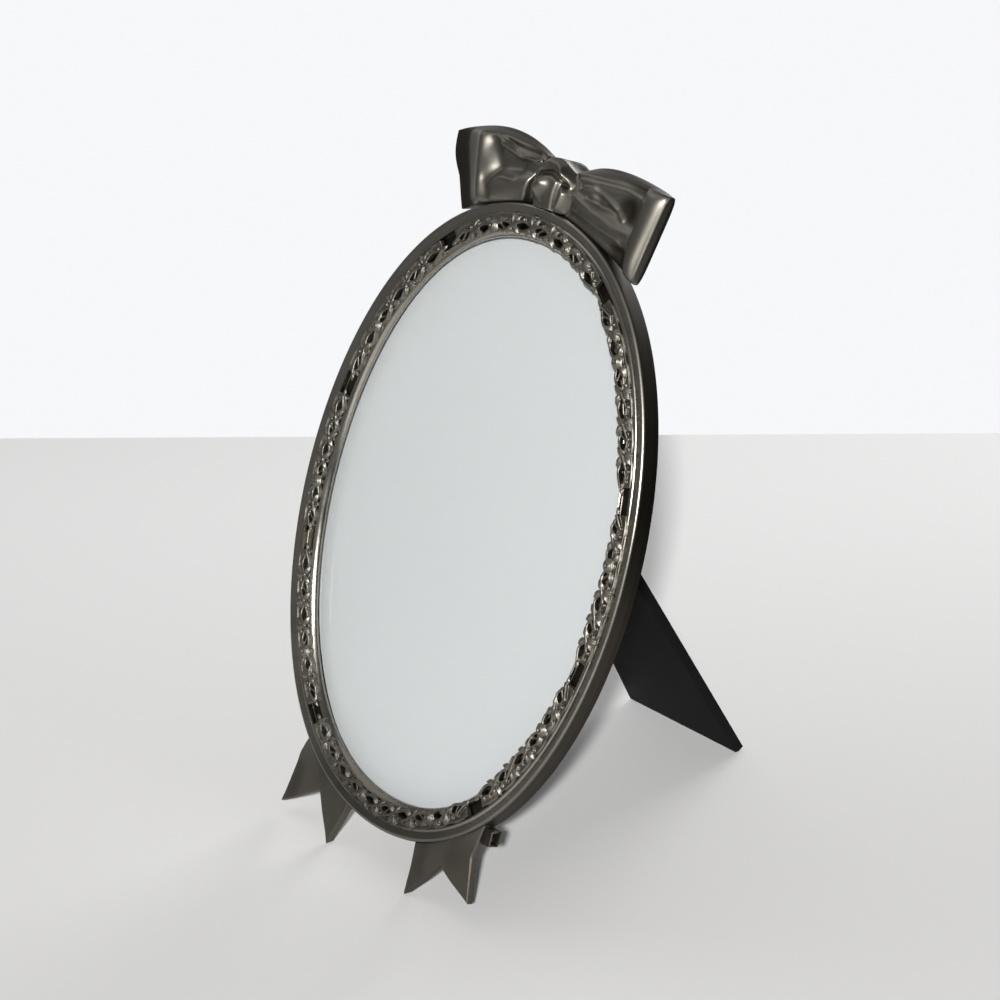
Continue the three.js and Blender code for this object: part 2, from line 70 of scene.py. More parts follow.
def angle(name, description, degrees):
    return FloatProperty(
        name=name, description=description, default=math.radians(degrees), subtype="ANGLE", unit="ROTATION"
    )


def share(name, description, value):
    return FloatProperty(
        name=name, description=description, default=value, subtype="FACTOR", min=0.0, max=1.0
    )


def colour(name, description, value):
    return FloatVectorProperty(
        name=name, description=description, default=(*value, 1.0), size=4, subtype="COLOR", min=0.0, max=1.0
    )


class RimSizes(PropertyGroup):
    """Oval rim: widths are counted outwards from the sight edge, depths back from the bead crests"""

    lean: angle("Lean", "How far the face leans back from upright", 20)
    sight_width: length("Sight width", "Width of the sight opening", 84.6)
    sight_height: length("Sight height", "Height of the sight opening", 121)
    lip_width: length("Lip width", "Width of the smooth lip inside the vine", 1.25)
    lip_drop: length("Lip drop", "Depth of the lip's crest", 0.8)
    lip_bulge: length("Lip bulge", "How far the lip's bevel bulges", 0.1)
    sight_drop: length("Sight drop", "Depth where the lip's bevel starts at the sight edge", 1.9)
    seat_depth: length("Seat depth", "Depth of the glass seat", 2.5)
    glass_depth: length("Glass depth", "Depth of the pane's middle", 3.5)
    channel_width: length("Channel width", "Width of the sunk channel of the vine", 2.6)
    channel_depth: length("Channel depth", "Depth of the channel's floor", 1.6)
    inner_bead: length("Inner bead", "Radius of the inner bead", 0.6)
    outer_bead: length("Outer bead", "Radius of the outer bead", 0.75)
    groove: length("Groove", "Width of the groove between the beads", 0.5)
    depth: length("Depth", "Depth of the plain side wall", 4.7)
    rear_bevel: length("Rear bevel", "Bevel at the side wall's rear edge", 0.3)
    fence_inner: length("Fence inside", "Where the rear fence starts", 2.9)
    fence_wall: length("Fence wall", "Thickness of the rear fence", 1.5)
    fence_depth: length("Fence depth", "Depth of the rear fence's edge", 6.45)
    hook_angle: angle("Hook angle", "Place of the two rear hooks, from the bottom", 22)
    hook_width: length("Hook width", "Length of a hook along the fence", 6.0)
    hook_reach: length("Hook reach", "How far a hook reaches over the easel back", 2.2)
    hook_thickness: length("Hook thickness", "Thickness of a hook's tongue", 1.0)
    hook_gap: length("Hook gap", "Room under a hook's tongue", 0.25)
    hook_round: length("Hook round", "Rounding of a hook's edges", 0.22)
    boss_angle: angle("Boss angle", "Place of the two turn-button bosses, from the top", 18)
    boss_radius: length("Boss radius", "Radius of a turn button's boss", 1.8)
    boss_offset: length("Boss offset", "A boss's middle outside the sight edge", 5.4)
    boss_round: length("Boss round", "Rounding of a boss's edges", 0.2)
    steps: IntProperty(name="Steps", description="Facets round the oval", default=256, min=64, max=512)


class VineSizes(PropertyGroup):
    """Rose vine in the channel, heights counted from the channel's floor"""

    bare: length("Bare", "Half of each bare stretch between garlands", 4.5)
    pitch: length("Pitch", "Distance from one crossing of the stems to the next", 5.4)
    stem: length("Stem", "Radius of a stem", 0.31)
    sway: length("Sway", "How far a stem swings to either side", 1.05)
    inset: length("Inset", "How far the vine's middle line lies inside the channel's", 0.3)
    mat_reach: length("Mat reach", "Where the cast ground ends on the inner bead", 2.05)
    mat_height: length("Mat height", "Height of the cast ground outside the stems", 1.3)
    stem_height: length("Stem height", "Height of the stems' middle", 1.6)
    weave: length("Weave", "How far the stems rise and sink where they cross", 0.25)
    tendril: length("Tendril", "Radius of the zigzag tendril between the stems", 0.26)
    leaf_length: length("Leaf length", "Length of a leaf", 2.7)
    leaf_width: length("Leaf width", "Width of a leaf", 1.5)
    leaf_thickness: length("Leaf thickness", "Thickness of a leaf", 0.45)
    leaf_turn: angle("Leaf turn", "A leaf's heading away from the channel", 38)
    rose: length("Rose", "Radius of a rose", 1.5)
    rose_height: length("Rose height", "Height of a rose", 2.55)
    stalk: length("Stalk", "Radius of the stalk under a rose", 0.95)
    bud: length("Bud", "Radius of a bud", 0.46)
    cast_grain: length("Cast grain", "Finest detail that the casting keeps", 0.12)


class BowSizes(PropertyGroup):
    """Ribbon bow and ends: a skew lowers, lengthens or turns the right loop, the left one the other way"""

    gap: length("Gap", "Room between the bow and the rim, below 0 where it is cast on", -0.25)
    reach: length("Reach", "Distance from the middle to a loop's end", 32.4)
    reach_skew: length("Reach skew", "How much further the right loop reaches", 0.3)
    neck_height: length("Neck height", "Height of a loop at the knot", 9.3)
    crown_height: length("Crown height", "Height that the loop's top edge bends towards", 17.0)
    crown_reach: length("Crown reach", "Distance from the middle to that bend", 14.5)
    crown_skew: length("Crown skew", "How much nearer the right loop's bend lies", 4.0)
    end_height: length("End height", "Height of the loop's outer end", 9.6)
    height_skew: length("Height skew", "How much lower the right loop lies", 0.8)
    end_lift: length("End lift", "Height of the outer end's foot above the rim", 2.9)
    neck_angle: angle("Neck angle", "Where the loop's foot starts, from the top", 6.4)
    end_angle: angle("End angle", "Where the loop's foot ends, from the top", 29.4)
    angle_skew: angle("Angle skew", "How much further the right loop's foot ends", 2.8)
    neck_overlap: length("Neck overlap", "How far a loop's neck reaches into the knot", 2.2)
    neck_depth: length("Neck depth", "Thickness of a loop at the knot", 4.2)
    loop_depth: length("Loop depth", "Thickness of a loop at its fullest", 7.4)
    depth_centre: length("Depth centre", "Middle of the bow's thickness behind the bead crests", 2.6)
    front_width: length("Front width", "Width over which a loop's folds are laid out", 26.0)
    front_height: length("Front height", "Half the height over which they are laid out", 4.8)
    roll: length("Roll", "Height of the rolled fold at the right loop's end", 2.8)
    roll_place: share("Roll place", "Where along the right loop that fold lies", 0.925)
    roll_width: share("Roll width", "Half the width of that fold, as a share of the loop", 0.08)
    edge_wave: length("Edge wave", "Height of the wave in the left loop's end", 0.8)
    top_drop: length("Top drop", "How far a loop's top slopes down to its front", 3.0)
    knot_width: length("Knot width", "Width of the knot", 13.4)
    knot_shift: length("Knot shift", "How far the knot sits to the right", 2.6)
    knot_height: length("Knot height", "Height of the knot", 10.8)
    knot_depth: length("Knot depth", "Thickness of the knot", 9.0)
    knot_dome: share("Knot dome", "How far the knot's height falls off to its sides", 0.22)
    tail_ripple: length("Tail ripple", "Height of the wave in the ribbon ends", 0.55)
    tail_bevel: length("Tail bevel", "Rounding of the swallow-tails' edges", 0.22)
    lug_width: length("Lug width", "Width of the lug behind a ribbon end", 2.6)
    lug_depth: length("Lug depth", "Depth of a lug", 2.8)
    lug_height: length("Lug height", "Height of a lug", 3.4)
    lug_inset: length("Lug inset", "A lug's middle in front of the ribbon end's rear", 1.9)
    lug_lift: length("Lug lift", "A lug's middle above the ribbon end's stud", 1.3)
    lug_wall: length("Lug wall", "Thickness of the wall round a lug's hollow", 0.45)
    lug_hollow: length("Lug hollow", "Depth of a lug's hollow", 1.8)
    lug_round: length("Lug round", "Rounding of a lug's edges", 0.6)


class EaselSizes(PropertyGroup):
    """Rounded edges of the easel back and of its hardware"""

    plate_round: length("Plate round", "Rounding of the easel back's edges", 0.3)
    strut_round: length("Strut round", "Rounding of the strut's edges", 0.35)
    pin_round: length("Pin round", "Rounding of the hinge pin's heads", 0.15)
    button_round: length("Button round", "Rounding of a turn button's edges", 0.15)
    rivet_round: length("Rivet round", "Rounding of a rivet's head", 0.12)


class Finishes(PropertyGroup):
    """Colours of the finishes"""

    pewter: colour("Pewter", "Rubbed pewter on the high places", (0.235, 0.22, 0.188))
    polish: colour("Polish", "Beads and lip, polished by cleaning", (0.36, 0.338, 0.295))
    patina: colour("Patina", "Dark antique patina in the hollows", (0.042, 0.036, 0.028))
    card: colour("Card", "Blank card behind the glass", (0.65, 0.664, 0.662))
    plastic: colour("Plastic", "Black moulded plastic of the easel back", (0.005, 0.0055, 0.0054))
    steel: colour("Steel", "Plated steel of the pin and the turn buttons", (0.5, 0.49, 0.46))
    glass: colour("Glass", "Tint of the pane", (0.99, 0.995, 0.995))
    floor: colour("Floor", "Pale table top", (0.71, 0.705, 0.697))
    # painted light: the table's far end is painted lighter, standing in for light thrown back from the wall
    floor_painted_light: colour("Floor end", "Far end of the table top", (0.95, 0.945, 0.94))
    backdrop: colour("Backdrop", "White wall behind", (0.93, 0.935, 0.955))


def bench(group):
    """The values of a group, with its lengths in the bench's millimetres"""
    values = {}
    for item in group.bl_rna.properties:
        if item.identifier not in ("rna_type", "name"):
            value = getattr(group, item.identifier)
            values[item.identifier] = value / MM if item.unit == "LENGTH" else value
    return SimpleNamespace(**values)


def rim_sizes():
    return bench(bpy.context.scene.frame_rim)


# Oval geometry


def oval_point(rim, offset, turn):
    """Point of the parallel oval an offset outside the sight edge, at a turn clockwise from the top"""
    across, up = rim.sight_width / 2, rim.sight_height / 2
    outward = Vector((up * math.sin(turn), across * math.cos(turn))).normalized()
    return Vector((across * math.sin(turn), up * math.cos(turn))) + outward * offset


def oval_heading(rim, turn):
    return math.atan2(rim.sight_height * math.sin(turn), rim.sight_width * math.cos(turn))


def rim_width(rim):
    return rim.lip_width + rim.channel_width + 2 * rim.inner_bead + rim.groove + 2 * rim.outer_bead


def face_place(rim):
    """Matrix from the bench to the leaning face"""
    low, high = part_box("glass_pane")
    lean = Matrix.Rotation(-rim.lean, 4, "X")
    centre = (low + high) / 2 - lean @ Vector((0, rim.glass_depth * MM, 0))
    return Matrix.Translation(centre) @ lean @ Matrix.Scale(MM, 4)


def ease(low, high, value):
    """Smooth step from 0 at low to 1 at high"""
    step = min(1.0, max(0.0, (value - low) / (high - low)))
    return step * step * (3 - 2 * step)


def ridge(value, centre, width):
    return math.exp(-(((value - centre) / width) ** 2))


# Bench work


def clear_bench():
    if bpy.context.object and bpy.context.object.mode != "OBJECT":
        bpy.ops.object.mode_set(mode="OBJECT")
    bpy.ops.object.select_all(action="DESELECT")


def take(piece):
    """Make a piece the only selected and active one"""
    clear_bench()
    piece.select_set(True)
    bpy.context.view_layer.objects.active = piece
    return piece


def start(primitive, name, **sizes):
    """Add a primitive with nothing else selected"""
    clear_bench()
    primitive(**sizes)
    piece = bpy.context.object
    piece.name = name
    return piece


def pick(piece, kind, test):
    """Enter edit mode with only the edges or faces selected that pass a test"""
    take(piece)
    bpy.ops.object.mode_set(mode="EDIT")
    bpy.ops.mesh.select_mode(type=kind)
    bpy.ops.mesh.select_all(action="DESELECT")
    bpy.ops.object.mode_set(mode="OBJECT")
    for part in piece.data.edges if kind == "EDGE" else piece.data.polygons:
        part.select = test(part)
    bpy.ops.object.mode_set(mode="EDIT")


def finish_with(piece, kind, **settings):
    """Add a modifier and apply it"""
    take(piece)
    modifier = piece.modifiers.new(kind.title(), kind)
    for key, value in settings.items():
        setattr(modifier, key, value)
    bpy.ops.object.modifier_apply(modifier=modifier.name)


def reshape(piece, rule):
    """Move each vertex by a rule"""
    for vertex in piece.data.vertices:
        vertex.co = rule(vertex.co)
    piece.data.update()


def mesh_box(piece):
    """Lowest and highest corner of a piece's mesh"""
    axes = list(zip(*(vertex.co for vertex in piece.data.vertices)))
    return Vector(map(min, axes)), Vector(map(max, axes))


def round_edges(piece, width, segments, degrees=40):
    """Bevel the edges that are sharper than an angle"""
    finish_with(
        piece, "BEVEL", width=width, segments=segments,
        limit_method="ANGLE", angle_limit=math.radians(degrees),
    )


def tidy(piece, distance=1e-4):
    """Merge doubles and point the faces outwards"""
    take(piece)
    bpy.ops.object.mode_set(mode="EDIT")
    bpy.ops.mesh.select_all(action="SELECT")
    bpy.ops.mesh.remove_doubles(threshold=distance)
    bpy.ops.mesh.normals_make_consistent(inside=False)
    bpy.ops.object.mode_set(mode="OBJECT")


def copy_of(piece, name, matrix):
    made = piece.copy()
    made.data = piece.data.copy()
    made.name = name
    bpy.context.scene.collection.objects.link(made)
    made.data.transform(matrix)
    return made


def join(pieces, name):
    clear_bench()
    for piece in pieces:
        piece.select_set(True)
    bpy.context.view_layer.objects.active = pieces[0]
    bpy.ops.object.join()
    pieces[0].name = name
    return pieces[0]


def discard(*pieces):
    for piece in pieces:
        bpy.data.objects.remove(piece)


def settle(piece, matrix):
    """Carry a piece from the bench to its place and leave its object at the origin"""
    take(piece)
    piece.matrix_world = matrix
    bpy.ops.object.transform_apply(location=True, rotation=True, scale=True)


def smooth(piece, degrees):
    take(piece)
    bpy.ops.object.shade_smooth_by_angle(angle=math.radians(degrees))


def dress(piece, finish, slot, body, *nodes):
    """Give a piece its finish, its body and the solids that it stands for"""
    piece.data.materials.clear()
    piece.data.materials.append(finish)
    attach(piece, body)
    if nodes:
        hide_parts(*nodes)


def eased_copy(node, name, bevel):
    """Copy of a solid, merged, with its sharp edges rounded"""
    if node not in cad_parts:
        raise RuntimeError(f"the packed model has no {node}")
    piece = copy_of(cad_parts[node], name, Matrix.Scale(1 / MM, 4))
    for key in list(piece.keys()):
        del piece[key]
    piece.parent = None
    piece.matrix_world = Matrix.Identity(4)
    tidy(piece)
    bpy.ops.object.mode_set(mode="EDIT")
    bpy.ops.mesh.select_all(action="SELECT")
    bpy.ops.mesh.dissolve_limited(angle_limit=math.radians(0.5))
    bpy.ops.object.mode_set(mode="OBJECT")
    round_edges(piece, bevel, 3, degrees=30)
    settle(piece, Matrix.Scale(MM, 4))
    smooth(piece, 35)
    return piece


# Finishes


class Wire:
    """A shader socket whose sums and products add Math nodes"""

    def __init__(self, finish, socket):
        self.finish = finish
        self.socket = socket

    def __add__(self, other):
        return self.finish.maths("ADD", self, other)

    def __sub__(self, other):
        return self.finish.maths("SUBTRACT", self, other)

    def __rsub__(self, other):
        return self.finish.maths("SUBTRACT", other, self)

    def __mul__(self, other):
        return self.finish.maths("MULTIPLY", self, other)

    __radd__ = __add__
    __rmul__ = __mul__

    def span(self, low, high):
        """0 below low, 1 above high"""
        return self.finish.node(
            "MapRange", {"Value": self, "From Min": low, "From Max": high}, interpolation_type="SMOOTHSTEP"
        )


class Finish:
    """Node tree of a material or of the world"""

    def __init__(self, owner):
        owner.use_nodes = True
        self.owner = owner
        self.tree = owner.node_tree
        self.tree.nodes.clear()

    def node(self, kind, sockets=None, out=0, **settings):
        """Add a node, set or link its sockets, and give one of its outputs"""
        made = self.tree.nodes.new("ShaderNode" + kind)
        for key, value in settings.items():
            setattr(made, key, value)
        for key, value in (sockets or {}).items():
            if isinstance(value, Wire):
                self.tree.links.new(value.socket, made.inputs[key])
            else:
                made.inputs[key].default_value = value
        return Wire(self, made.outputs[out]) if made.outputs else None

    def maths(self, operation, *values):
        return self.node("Math", dict(enumerate(values)), operation=operation)

    def vector(self, operation, *values, out="Vector"):
        return self.node("VectorMath", dict(enumerate(values)), out, operation=operation)

    def dot(self, first, second):
        return self.vector("DOT_PRODUCT", first, second, out="Value")

    def mix(self, factor, first, second):
        return self.node("Mix", {0: factor, 6: first, 7: second}, 2, data_type="RGBA")

    def place(self, kind="Object"):
        return self.node("TexCoord", out=kind)

    def axis(self, place, name):
        return self.node("SeparateXYZ", {0: place}, name)

    def noise(self, place, scale, detail=3.0, roughness=0.55):
        sockets = {"Vector": place, "Scale": scale, "Detail": detail, "Roughness": roughness}
        return self.node("TexNoise", sockets)

    def relief(self, height, strength, depth):
        """Bump with a depth in millimetres"""
        return self.node("Bump", {"Strength": strength, "Distance": depth * MM, "Height": height})

    def surface(self, shader):
        self.node("OutputMaterial", {"Surface": shader})
        return self.owner

    def opaque(self, sockets):
        return self.surface(self.node("BsdfPrincipled", sockets))


def made_once(maker):
    """One material for all the pieces that share a finish"""
    kept = {}

    def give():
        name = maker.__name__
        if name not in kept:
            kept[name] = maker(Finish(bpy.data.materials.new(name)), bench(bpy.context.scene.frame_finishes))
        return kept[name]

    return give


def tint(tone, *shares):
    """A tone whose red, green and blue are each taken by a share"""
    return (*(part * taken for part, taken in zip(tone, shares)), 1)


def cast_metal(finish, colours, hollow_reach, hollow_low, hollow_high, shine, polish):
    """Antique cast metal: rubbed bright on its front, darker towards the bottom, dark on its outer walls and
    in its hollows, with painted shade on the bow's upward and outward faces
    """
    rim = rim_sizes()
    face = face_place(rim)
    rearward, upward = ((face.to_3x3() @ Vector(axis)).normalized() for axis in ((0, 1, 0), (0, 0, 1)))
    place = finish.place()
    cloud = finish.noise(place, 130.0)
    grain = finish.noise(place, 1900.0, 4.0)
    from_centre = finish.vector("SUBTRACT", place, tuple(face.translation))
    depth = finish.dot(from_centre, tuple(rearward))
    normal = finish.node("NewGeometry", out="Normal")
    facing = -1.0 * finish.dot(normal, tuple(rearward))
    outward = finish.dot(normal, finish.vector("NORMALIZE", from_centre))

    def beyond_oval(offset, low, high):
        """0 inside the oval at an offset from the sight edge, 1 outside it"""
        across, up = (oval_point(rim, offset, turn).length * MM for turn in (TURN / 4, 0))
        along_x = finish.dot(from_centre, (1 / across, 0, 0))
        along_up = finish.dot(from_centre, tuple(upward / up))
        return (along_x * along_x + along_up * along_up).span(low, high)

    beyond = beyond_oval(rim_width(rim), 0.98, 1.03)
    lip = polish * (1 - beyond_oval(rim.lip_width, 0.99, 1.0))
    crests = polish * (1 - depth.span(0.85 * MM, 1.1 * MM)) * (1 - beyond)
    sunk = 0.93 * depth.span(1.0 * MM, 1.6 * MM) * facing.span(0.4, 0.9) * (1 - lip)
    rear = depth.span(2.4 * MM, 3.4 * MM)
    side_wall = 0.9 * outward.span(0.74, 0.98)
    # painted shade: the bow's upward and outward faces are darkened, standing in for the dim light that falls
    # on them from above
    painted_bow_top_shade = 0.5 * beyond * outward.span(0.45, 0.8)
    # darker towards the bottom: full brightness above 26 mm, 0.45 of it below 12 mm
    darker_below = 0.45 + 0.55 * finish.axis(place, "Z").span(12 * MM, 26 * MM)
    # rubbed brightness, lowered in the sunk channel, at the rear, on the outer walls, towards the bottom, and
    # by the painted shade on the bow's upward and outward faces
    rubbed_and_painted_shade = darker_below * (1 - sunk) * (1 - rear) * (1 - side_wall) * (1 - painted_bow_top_shade)
    hollow = finish.node("AmbientOcclusion", {"Distance": hollow_reach * MM}, "AO", samples=6)
    # patina in the hollows; the painted shade on the bow's upward and outward faces is carried on into the
    # base colour and the roughness
    open_metal_and_painted_shade = hollow.span(hollow_low, hollow_high) * rubbed_and_painted_shade
    worn_and_painted_shade = open_metal_and_painted_shade * (0.66 + 0.5 * cloud + 0.14 * grain)
    bright = finish.mix(lip + crests * (1 - lip), tuple(colours.pewter), tuple(colours.polish))
    roughness = shine + 0.17 * beyond - 0.08 * lip + 0.14 * cloud + 0.06 * grain + 0.14 * (1 - open_metal_and_painted_shade)
    return finish.opaque({
        "Base Color": finish.mix(worn_and_painted_shade, tuple(colours.patina), bright),
        "Metallic": 1.0,
        "Roughness": roughness,
        "Normal": finish.relief(0.88 * cloud + 0.12 * grain, 0.25, 0.12),
    })


# Pewter of the rim, bow and ribbon ends, carrying the painted shade on the bow's upward and outward faces
@made_once
def rubbed_pewter_and_painted_shade(finish, colours):
    return cast_metal(
        finish, colours, hollow_reach=1.2, hollow_low=0.1, hollow_high=0.7, shine=0.15, polish=1.0
    )


@made_once
def vine_pewter(finish, colours):
    return cast_metal(
        finish, colours, hollow_reach=1.1, hollow_low=0.3, hollow_high=1.0, shine=0.36, polish=0.0
    )


@made_once
def blank_card(finish, colours):
    place = finish.place()
    fibre = finish.noise(place, 900.0, 5.0, 0.7)
    shade = 0.35 * fibre + 0.65 * finish.noise(place, 45.0, 2.0)
    return finish.opaque({
        "Base Color": finish.mix(shade, tint(colours.card, 0.965, 0.968, 0.97), tuple(colours.card)),
        "Roughness": 0.72,
        "Normal": finish.relief(fibre, 0.12, 0.05),
    })


@made_once
def clear_glass(finish, colours):
    through = finish.node("BsdfTransparent", {"Color": tuple(colours.glass)})
    gloss = finish.node("BsdfGlossy", {"Roughness": 0.004})
    facing = finish.node("LayerWeight", {"Blend": 0.5}, "Facing")
    shine = 0.035 + 0.8 * finish.maths("POWER", facing, 5.0)
    return finish.surface(finish.node("MixShader", {0: shine, 1: through, 2: gloss}))


@made_once
def black_plastic(finish, colours):
    place = finish.place()
    grain = finish.noise(place, 2600.0, 3.0, 0.6)
    handling = finish.noise(place, 90.0, 4.0)
    dusty = tint(colours.plastic, 1.9, 1.9, 1.85)
    return finish.opaque({
        "Base Color": finish.mix(handling * handling, tuple(colours.plastic), dusty),
        "Roughness": 0.55 + 0.14 * handling + 0.06 * grain,
        "Normal": finish.relief(grain, 0.3, 0.06),
        "Specular IOR Level": 0.06,
    })


@made_once
def plated_steel(finish, colours):
    dull = finish.noise(finish.place(), 420.0, 4.0)
    return finish.opaque({
        "Base Color": finish.mix(dull, tint(colours.steel, 0.72, 0.7, 0.66), tuple(colours.steel)),
        "Metallic": 1.0,
        "Roughness": 0.2 + 0.22 * dull,
        "Normal": finish.relief(dull, 0.2, 0.05),
    })


@made_once
def table_top(finish, colours):
    place = finish.place()
    shade = 0.3 * finish.noise(place, 700.0, 3.0) + 0.7 * finish.noise(place, 6.0, 2.0)
    near = finish.mix(shade, tint(colours.floor, 0.97, 0.97, 0.972), tuple(colours.floor))
    # painted light: the table top turns lighter towards its far end, standing in for light thrown back from
    # the wall
    away = finish.axis(finish.place("UV"), "Y").span(0.71, 0.98)
    return finish.opaque({
        "Base Color": finish.mix(away, near, tuple(colours.floor_painted_light)),
        "Roughness": 0.9,
        "Specular IOR Level": 0.1,
    })


# Rim


def arc(centre, depth, radius, steps, first=0, last=180):
    """Front of a bead's round, between two angles counted from its inner to its outer foot"""
    turns = (math.radians(first + (last - first) * step / steps) for step in range(steps + 1))
    return [(centre - radius * math.cos(turn), depth - radius * math.sin(turn)) for turn in turns]


def rim_section(rim):
    """Outline of the rim's section as offsets and depths"""
    channel_end = rim.lip_width + rim.channel_width
    inner = channel_end + rim.inner_bead
    outer = inner + rim.inner_bead + rim.groove + rim.outer_bead
    width = outer + rim.outer_bead
    fence_outer = rim.fence_inner + rim.fence_wall
    ease_edge = 0.12
    bead = arc(inner, rim.outer_bead, rim.inner_bead, 10, first=60, last=148)
    bead_foot = bead[0][0]
    points = [(0, rim.seat_depth)]
    edge = Vector((0, rim.sight_drop))
    crest = Vector((rim.lip_width - ease_edge, rim.lip_drop))
    bulge = (crest - edge).orthogonal().normalized() * rim.lip_bulge
    steps = 8
    for step in range(steps + 1):
        part = step / steps
        points.append(tuple(edge.lerp(crest, part) - bulge * math.sin(math.pi * part)))
    points += [
        (rim.lip_width, rim.lip_drop + ease_edge),
        (rim.lip_width, rim.channel_depth - ease_edge),
        (rim.lip_width + ease_edge, rim.channel_depth),
        (bead_foot - ease_edge, rim.channel_depth),
        (bead_foot, rim.channel_depth - ease_edge),
    ]
    points += bead
    points += arc(outer, rim.outer_bead, rim.outer_bead, 12, first=62)
    points += [
        (width, rim.depth - rim.rear_bevel),
        (width - rim.rear_bevel, rim.depth),
        (fence_outer, rim.depth),
        (fence_outer, rim.fence_depth),
        (rim.fence_inner, rim.fence_depth),
        (rim.fence_inner, rim.seat_depth),
    ]
    return points


def sweep_oval(name, rim, section):
    """Run a section round the sight oval"""
    outline = bpy.data.curves.new(name + "_section", "CURVE")
    spline = outline.splines.new("POLY")
    spline.points.add(len(section) - 1)
    for point, (offset, depth) in zip(spline.points, section):
        point.co = (-offset, -depth, 0, 1)
    spline.use_cyclic_u = True
    profile = bpy.data.objects.new(name + "_section", outline)
    bpy.context.scene.collection.objects.link(profile)
    path = start(bpy.ops.curve.primitive_bezier_circle_add, name, radius=rim.sight_height / 2)
    path.data.dimensions = "3D"
    path.data.twist_mode = "Z_UP"
    path.data.fill_mode = "FULL"
    path.data.resolution_u = rim.steps // 4
    bpy.ops.object.mode_set(mode="EDIT")
    bpy.ops.curve.select_all(action="SELECT")
    bpy.ops.transform.resize(value=(rim.sight_width / rim.sight_height, 1, 1))
    bpy.ops.object.mode_set(mode="OBJECT")
    path.data.bevel_mode = "OBJECT"
    path.data.bevel_object = profile
    bpy.ops.object.convert(target="MESH")
    ring = bpy.context.object
    ring.data.transform(Matrix.Rotation(math.pi / 2, 4, "X"))
    discard(profile)
    tidy(ring)
    return ring


def rear_hook(rim, turn):
    """Cast hook: a block on the fence with a tongue pulled in over the easel back"""
    under = rim.fence_depth + rim.hook_gap
    root = rim.fence_depth - rim.fence_wall
    hook = start(bpy.ops.mesh.primitive_cube_add, "hook", size=1)
    reshape(
        hook,
        lambda co: Vector((
            co.x * rim.hook_width,
            root + (co.y + 0.5) * (under + rim.hook_thickness - root),
            rim.fence_inner + (co.z + 0.5) * rim.fence_wall,
        )),
    )
    bpy.ops.object.mode_set(mode="EDIT")
    bpy.ops.mesh.select_all(action="SELECT")
    middle = rim.fence_inner + rim.fence_wall / 2
    bpy.ops.mesh.bisect(plane_co=(0, under, middle), plane_no=(0, 1, 0))
    pick(hook, "FACE", lambda face: face.normal.z < -0.9 and face.center.y > under)
    bpy.ops.mesh.extrude_region_move(TRANSFORM_OT_translate={"value": (0, 0, -rim.hook_reach)})
    bpy.ops.object.mode_set(mode="OBJECT")
    round_edges(hook, rim.hook_round, 2)
    edge = oval_point(rim, 0, turn)
    turned = Matrix.Rotation(oval_heading(rim, turn), 4, "Y")
    hook.data.transform(Matrix.Translation((edge.x, 0, edge.y)) @ turned)
    return hook


def rear_boss(rim, turn):
    """Round boss behind the rim that carries a turn button"""
    front = (rim.depth + rim.channel_depth) / 2
    boss = start(
        bpy.ops.mesh.primitive_cylinder_add, "boss",
        vertices=40, radius=rim.boss_radius, depth=rim.fence_depth - front,
    )
    round_edges(boss, rim.boss_round, 2)
    place = oval_point(rim, rim.boss_offset, turn)
    upright = Matrix.Rotation(math.pi / 2, 4, "X")
    boss.data.transform(Matrix.Translation((place.x, (front + rim.fence_depth) / 2, place.y)) @ upright)
    return boss


class FRAME_OT_rim(Operator):
    """Sweep the beaded rim and set its rear hooks and bosses"""

    bl_idname = "photo_frame.rim"
    bl_label = "Rim Casting"

    def execute(self, context):
        rim = rim_sizes()
        ring = sweep_oval("rim", rim, rim_section(rim))
        pieces = [ring]
        for side in (-1, 1):
            pieces.append(rear_hook(rim, math.pi + side * rim.hook_angle))
            pieces.append(rear_boss(rim, side * rim.boss_angle))
        piece = join(pieces, "rim")
        settle(piece, face_place(rim))
        smooth(piece, 38)
        dress(piece, rubbed_pewter_and_painted_shade(), "pewter", "frame", "rim_casting")
        return {"FINISHED"}


# Rose vine


def petal(rose, count, reach, low, high, curl):
    """One petal: a patch cupped about the rose's heart, with its lip curled out"""
    patch = start(bpy.ops.mesh.primitive_grid_add, "petal", x_subdivisions=6, y_subdivisions=6, size=2)

    def cup(co):
        side, out = co.x, (co.y + 1) / 2
        turn = side * 1.22 * math.pi / count * (0.45 + 0.55 * math.sqrt(out))
        radius = rose * reach * (0.15 + 0.85 * out) * (1 - 0.16 * side * side * out)
        height = low + (high - low) * math.sin(out * 0.62 * math.pi) - curl * out**4 + 0.1 * side * side
        return Vector((radius * math.cos(turn), radius * math.sin(turn), height))

    reshape(patch, cup)
    finish_with(patch, "SOLIDIFY", thickness=0.3, offset=0)
    return patch


def model_rose(vine):
    """Open rose on its stalk: three rings of petals round a bud"""
    top = vine.rose_height
    rings = (
        (5, 1.0, top - 1.25, top - 0.55, 0.3, 0.0),
        (4, 0.7, top - 1.0, top - 0.2, 0.2, 0.5),
        (3, 0.42, top - 0.7, top - 0.02, 0.1, 0.2),
    )
    pieces = []
    for count, reach, low, high, curl, phase in rings:
        first = petal(vine.rose, count, reach, low, high, curl)
        for i in range(count):
            turned = Matrix.Rotation(TURN * (i + phase) / count, 4, "Z")
            pieces.append(copy_of(first, "petal", turned))
        discard(first)
    stalk = start(
        bpy.ops.mesh.primitive_cone_add, "stalk",
        vertices=14, radius1=vine.stalk, radius2=vine.rose * 0.62, depth=top - 1.0,
    )
    stalk.data.transform(Matrix.Translation((0, 0, (top - 1.0) / 2 - 0.05)))
    return join([*pieces, stalk], "rose")


